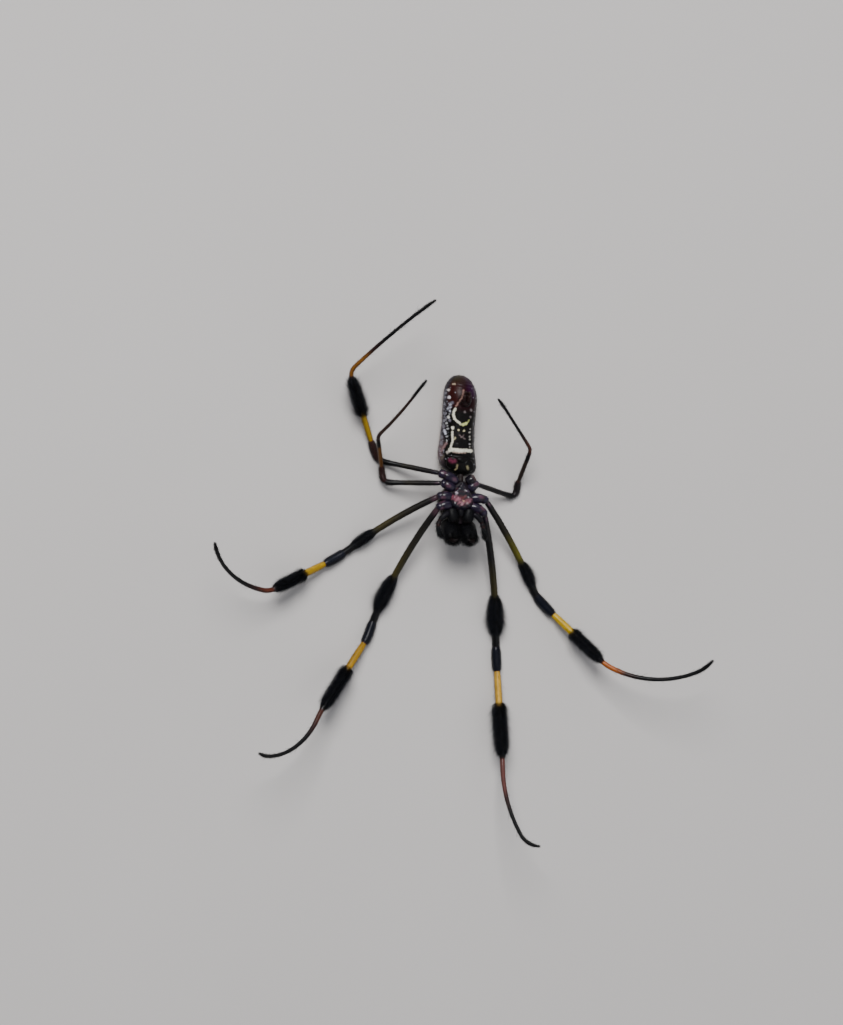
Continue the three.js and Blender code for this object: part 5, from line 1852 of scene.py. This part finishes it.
BACK_MARKS: tuple[Stroke, ...] = (
    Stroke(((-3.4, 1.9), (-2.4, 1.45), (-0.9, 1.3), (0.6, 1.5), (1.5, 2.0)), 0.8, CREAM, 0.18),
    *spots((-2.5, 4.4, 0.36), (-0.2, 4.4, 0.36), (-2.7, 6.9, 0.38), (-0.6, 6.9, 0.38),
           (-2.85, 9.4, 0.36), (-0.8, 9.4, 0.36), (-3.0, 11.8, 0.33), (-1.0, 11.8, 0.33),
           (-3.05, 14.1, 0.29), (-1.2, 14.1, 0.29), (-3.1, 16.1, 0.22), (-1.45, 16.1, 0.22),
           colour=(0.72, 0.55, 0.20), softness=0.13, step=1.0),
    *spots((-1.35, 3.2, 0.2), (-1.5, 5.7, 0.16), (-1.65, 8.2, 0.16), (-1.8, 10.6, 0.16),
           (-1.95, 13.0, 0.15), colour=(0.16, 0.06, 0.015), softness=0.1, step=1.0),
)


@dataclass
class RearBody:
    """Abdomen with its markings and hair, spinnerets and the narrow waist."""

    finishes: Finishes
    length: float = 19.1
    width: float = 7.4
    height: float = 6.9
    flat_depth: float = 0.15
    front: float = 0.3
    spinneret_centre: tuple[float, float, float] = (-1.95, 14.7, 6.3)
    spinneret_lean: float = math.radians(50)

    def build(self) -> None:
        """Makes every piece of the rear body."""
        self.abdomen()
        self.spinnerets()
        self.pedicel()

    def abdomen(self) -> None:
        """Long bag that sways to the left, with plates, folds, marks and fine hair."""
        axis = self.height / 2 - self.flat_depth
        sway = graded((0, -0.4), (1.5, -0.75), (4.3, -1.4), (10.4, -1.85), (14.7, -2.15),
                      (self.length, -2.55))
        lift = graded((0, 0.75), (3, 0.15), (8, 0), (14, 0), (self.length, -0.35))
        width = graded((0, 0.12), (0.025, 0.6), (0.08, 0.93), (0.16, 1), (0.24, 0.965),
                       (0.4, 0.885), (0.56, 0.865), (0.76, 0.885), (0.88, 0.8), (0.95, 0.6),
                       (0.985, 0.36), (1, 0.12))
        height = graded((0, 0.1), (0.025, 0.5), (0.08, 0.8), (0.17, 0.95), (0.3, 1), (0.6, 0.97),
                        (0.78, 0.97), (0.88, 0.85), (0.95, 0.62), (0.985, 0.36), (1, 0.12))
        rings = []
        shares = (0, 0.006, 0.02, 0.045, 0.08, *np.linspace(0.115, 0.895, 24), 0.93, 0.957, 0.977,
                  0.991, 1)
        for share in shares:
            at = float(share) * self.length
            rings.append(Ring(
                at, float(width(share)) * self.width / 2 - 0.03,
                float(height(share)) * self.height / 2 - 0.03, -float(sway(at)), float(lift(at)),
            ))
        piece = Bench.grow("abdomen_skin", rings, 28, 3)
        along, side, rise = coordinates(piece).T
        turn = np.arctan2(rise - lift(along), -side - sway(along))
        skin = Skin(Bench.seat(piece, axes(REAR, UP, (0, self.front, axis))), along, turn)
        skin.swell(self.relief(skin))
        skin.paint(self.markings(skin))
        coat = Coat("abdomen_hair")
        roots = skin.scatter(13.0, 121)
        coat.comb(roots, REAR, ABDOMEN_HAIR, roots.tint * 0.8 + 0.006, 20)
        coat.comb(skin.scatter(2.0, 122), REAR, ABDOMEN_BRISTLE, (0.012, 0.010, 0.010), 21)
        present(coat.make(), self.finishes.hair, "abdomen")
        present(piece, self.finishes.abdomen, "abdomen", "abdomen")

    def relief(self, skin: Skin) -> Points:
        """Plates over the book lungs, the furrow behind them, folds and dimples."""
        x, y = skin.points[:, 0], skin.points[:, 1]
        belly = soft_step(np.sin(skin.turn), 0.05, 0.45)
        back = soft_step(-np.sin(skin.turn), 0.05, 0.45)
        middle = -0.75 - 0.15 * (y - 1.5)
        heights = np.zeros(len(x))
        for side in (-1, 1):
            oval = np.hypot((x - middle - side * 1.75) / 1.05, (y - 2.55) / 1.15)
            heights += 0.1 * belly * (1 - soft_step(oval, 0.8, 1.0))
            heights -= 0.07 * belly * np.exp(-(((oval - 1.06) / 0.07) ** 2))
        plate = np.hypot((x - middle) / 0.75, (y - 3.35) / 0.42)
        heights += 0.16 * belly * (1 - soft_step(plate, 0.6, 1.0))
        heights -= 0.12 * belly * np.exp(-(((y - 4.15 - 0.05 * np.cos(x)) / 0.14) ** 2))
        slow = np.sin(1.7 * y + 0.6 * np.sin(2.3 * skin.turn)) * np.abs(np.cos(skin.turn))
        heights += 0.03 * slow * soft_step(y, 2.0, 5.0)
        creases = np.sin(9 * skin.turn + 0.8 * np.sin(1.1 * y))
        heights += 0.018 * creases * soft_step(np.abs(np.cos(skin.turn)), 0.3, 0.8)
        for places, face, centre, apart, depth, radius in (
            ((6.6, 8.6, 10.8), belly, 1.6, 0.75, 0.06, 0.16),
            ((5.0, 8.0, 11.0, 14.0), back, 1.7, 0.8, 0.1, 0.2),
        ):
            for place in places:
                for side in (-1, 1):
                    pit = np.hypot(x + centre - side * apart, y - place)
                    heights -= depth * face * np.exp(-((pit / radius) ** 2))
        tail = np.exp(-(((y - 17.6) / 0.5) ** 2))
        return heights + 0.04 * tail * np.sin(10 * y)

    def markings(self, skin: Skin) -> Points:
        """Colours of the belly, the flanks and the back, with painted highlights: purple on the
        right of the tail and a pale line by the spinnerets.
        """
        x, y, turn = skin.points[:, 0], skin.points[:, 1], skin.turn
        rise = np.sin(turn)
        left, right = soft_step(-np.cos(turn), 0.1, 0.5), soft_step(np.cos(turn), 0.0, 0.5)
        edge = soft_step(-np.cos(turn), 0.8, 0.99)
        front = soft_step(y, 1.6, 4.0) * (1 - soft_step(y, 5.5, 8.0))
        base = (0.0030, 0.0027, 0.0023)
        for tone, share in (
            ((0.016, 0.0008, 0.0024), soft_step(y, 12.0, 14.0)),
            ((0.028, 0.0034, 0.0026), left * soft_step(y, 13.0, 14.5)),
            # painted highlight: purple on the right of the tail
            ((0.028, 0.004, 0.034), 0.7 * right * soft_step(y, 14.6, 16.4)),
            ((0.020, 0.014, 0.006), soft_step(y, 17.2, 18.8) * (0.4 + 0.6 * left)),
            ((0.010, 0.008, 0.011), soft_step(-rise, -0.62, -0.3)),
            ((0.034, 0.028, 0.038), edge * soft_step(y, 5.0, 9.0) * 0.7),
            ((0.17, 0.11, 0.12), edge * front * 0.8),
        ):
            base = mixed(base, tone, share)
        u, v = as_seen(skin.points)
        facing = soft_step(skin.normals @ view_axes()[2], 0.03, 0.2)
        for stroke in BELLY_MARKS:
            base = mixed(base, stroke.colour, stroke.share(u, v) * facing)
        back = soft_step(-rise, -0.05, 0.45)
        ground = mixed((0.17, 0.075, 0.02), (0.05, 0.03, 0.016), soft_step(y, 15.0, 18.5))
        base = mixed(base, ground, back)
        for stroke in BACK_MARKS:
            base = mixed(base, stroke.colour, stroke.share(x, y) * back)
        return self.speckled(base, skin)

    def speckled(self, base: Points, skin: Skin) -> Points:
        """Silvery specks strewn in rows along both flanks."""
        rng = np.random.default_rng(131)
        count, arc_radius, far = 520, 3.2, 9.0
        specks = np.stack([rng.uniform(2.6, 17.2, count), rng.normal(0.02, 0.4, count)], 1)
        sizes = rng.uniform(0.05, 0.14, count)
        nearest = np.full(len(base), far)
        flank = np.arcsin(np.clip(np.sin(skin.turn), -1, 1))
        for side in (-1, 1):
            here = (np.cos(skin.turn) * side > 0) & (np.abs(flank) < 1.1)
            y, arc = skin.points[here, 1], flank[here] * arc_radius
            best = np.full(len(y), far)
            for (place, turn), size in zip(specks[side > 0::2], sizes[side > 0::2]):
                best = np.minimum(best, np.hypot(y - place, arc - turn * arc_radius) / size)
            nearest[here] = best
        return mixed(base, SILVER, 0.5 * (1 - soft_step(nearest, 0.7, 1.3)))

    def spinnerets(self) -> None:
        """Ringed mound with three pairs of two-jointed spinnerets and a small hind lobe."""
        centre = np.array(self.spinneret_centre)
        mound_profile = [(-0.6, 1.32), (0.0, 1.3), (0.3, 1.26), (0.5, 1.16), (0.62, 1.18),
                         (0.8, 1.05), (0.93, 0.75), (0.97, 0.4)]
        mound = Bench.grow("mound", round_rings(mound_profile), 16, 2)
        parts = [Bench.seat(mound, axes(UP, REAR, centre))]
        profile = [(0, 1.0), (0.35, 0.98), (0.55, 0.88), (0.6, 0.74), (0.66, 0.76), (0.85, 0.62),
                   (0.96, 0.42), (1.0, 0.15)]
        rearward, upward = math.sin(self.spinneret_lean), math.cos(self.spinneret_lean)
        for across, along, radius, reach in (
            (0.55, -0.3, 0.55, 1.7), (0.5, 0.5, 0.5, 1.6), (0.2, 0.1, 0.3, 1.3),
            (0.0, 1.0, 0.3, 0.9),
        ):
            for s in (-1, 1) if across else (1,):
                cone = Bench.grow("cone", round_rings(profile, reach, radius), 10, 2)
                root = centre + np.array([s * across, along, 0.6])
                run = (-s * 0.12, reach * rearward, reach * upward)
                parts.append(Bench.seat(cone, axes(run, (1, 0, 0), root)))
        piece = Bench.join(parts, "spinneret_skin")
        points = coordinates(piece)
        height = points[:, 2] - centre[2]
        skin = Skin(piece, points[:, 1] - centre[1],
                    np.arctan2(points[:, 1] - centre[1], points[:, 0] - centre[0]))
        tone = ramp(height, [(-0.5, (0.007, 0.0015, 0.0016)), (0.7, (0.009, 0.002, 0.002)),
                             (1.3, (0.013, 0.003, 0.003)), (1.9, (0.020, 0.007, 0.006))])
        # the painted highlight line runs on over the spinnerets
        skin.paint(mixed(tone, SPINNERET_HIGHLIGHT_LINE.colour, SPINNERET_HIGHLIGHT_LINE.share(*as_seen(points))))
        coat = Coat("spinneret_hair")
        roots = skin.scatter(34 * soft_step(height, 0.5, 1.1), 141)
        outward = roots.points - (centre + np.array([0, 0, -1.5]))
        coat.comb(roots, outward, SPINNERET_HAIR, (0.008, 0.004, 0.004), 22)
        present(coat.make(), self.finishes.hair, "spinnerets")
        present(piece, self.finishes.spinneret, "spinnerets", "spinnerets")

    def pedicel(self) -> None:
        """Narrow ringed waist between the two halves of the body."""
        root, tip = np.array([-0.22, -1.6, 5.3]), np.array([-0.45, 1.6, 4.9])
        length = float(np.linalg.norm(tip - root))
        rings = round_rings((s * length, 0.6 - 0.05 * (index % 2))
                            for index, s in enumerate(np.linspace(0, 1, 11)))
        piece = Bench.grow("pedicel_skin", rings, 12, 2)
        Bench.seat(piece, axes(tip - root, UP, root))
        give_tint(piece, (0.014, 0.009, 0.009))
        present(piece, self.finishes.membrane, "coxae", "pedicel")


# Floor, light and camera


@dataclass
class Studio:
    """Pale floor, soft light and a long lens at the photograph's angle."""

    pixel: float = VIEW_STEP * MM
    image: tuple[int, int] = (843, 1025)
    sternum_pixel: tuple[float, float] = (462.7, 497.0)
    distance: float = 1.5
    sensor: float = 36.0
    floor_size: float = 6.0

    def build(self) -> None:
        """Makes the floor, the lights and the camera."""
        self.floor()
        self.light()
        self.camera()

    def floor(self) -> None:
        """A wide pale sheet that the spider lies on."""
        Bench.take()
        bpy.ops.mesh.primitive_plane_add(size=self.floor_size, location=(0, 0, 0))
        floor = bpy.context.object
        floor.name = floor.data.name = "floor"
        material, w, shader = fresh_material("pale_floor")
        tone = w.mix(w.noise(12.0, Detail=3.0), (0.60, 0.57, 0.55, 1), (0.66, 0.63, 0.61, 1))
        w.join(shader, Base_Color=tone, Roughness=0.85, Specular_IOR_Level=0.2)
        floor.data.materials.append(material)

    def light(self) -> None:
        """Large soft lamps round the spider and an even pale surround."""
        for name, energy, size, place in (
            ("key", 15.5, 0.62, (-0.35, 0.6, 0.95)),
            ("fill", 3.0, 1.4, (0.7, -0.3, 0.8)),
            ("rim", 1.0, 0.6, (0.1, 0.9, 0.35)),
        ):
            lamp = bpy.data.lights.new(name, "AREA")
            lamp.energy = energy
            lamp.shape = "DISK"
            lamp.size = size
            holder = bpy.data.objects.new(name, lamp)
            holder.location = place
            holder.rotation_euler = Vector(place).to_track_quat("Z", "Y").to_euler()
            bpy.context.scene.collection.objects.link(holder)
        world = bpy.data.worlds.new("surround")
        world.use_nodes = True
        background = world.node_tree.nodes["Background"]
        background.inputs["Color"].default_value = (0.80, 0.87, 1.0, 1)
        background.inputs["Strength"].default_value = 0.2
        bpy.context.scene.world = world

    def camera(self) -> None:
        """Puts the camera where the photograph was taken from, turned with the spider."""
        across, upward, out = (Vector(axis) for axis in view_axes())
        target = (Vector(STERNUM_CENTRE) + BODY_SHIFT) * MM
        target += across * (self.image[0] / 2 - self.sternum_pixel[0]) * self.pixel
        target += upward * (self.sternum_pixel[1] - self.image[1] / 2) * self.pixel
        lens = bpy.data.cameras.new("camera")
        lens.sensor_fit = "HORIZONTAL"
        lens.sensor_width = self.sensor
        lens.lens = self.sensor * self.distance / (self.image[0] * self.pixel)
        lens.clip_start = 0.01
        lens.clip_end = 20.0
        holder = bpy.data.objects.new("camera", lens)
        turn = Matrix((across, upward, out)).transposed().to_4x4()
        turn.translation = target + out * self.distance
        holder.matrix_world = turn
        bpy.context.scene.collection.objects.link(holder)
        bpy.context.scene.camera = holder


def main() -> None:
    """Builds the spider from head to tail, then the studio."""
    logging.basicConfig(level=logging.INFO, format="%(name)s %(message)s")
    finishes = Finishes()
    FrontBody(finishes).build()
    RearBody(finishes).build()
    for side, number in POSES:
        Leg(side, number, finishes).build()
    Stump(finishes).build()
    Studio().build()


if __name__ == "__main__":
    main()
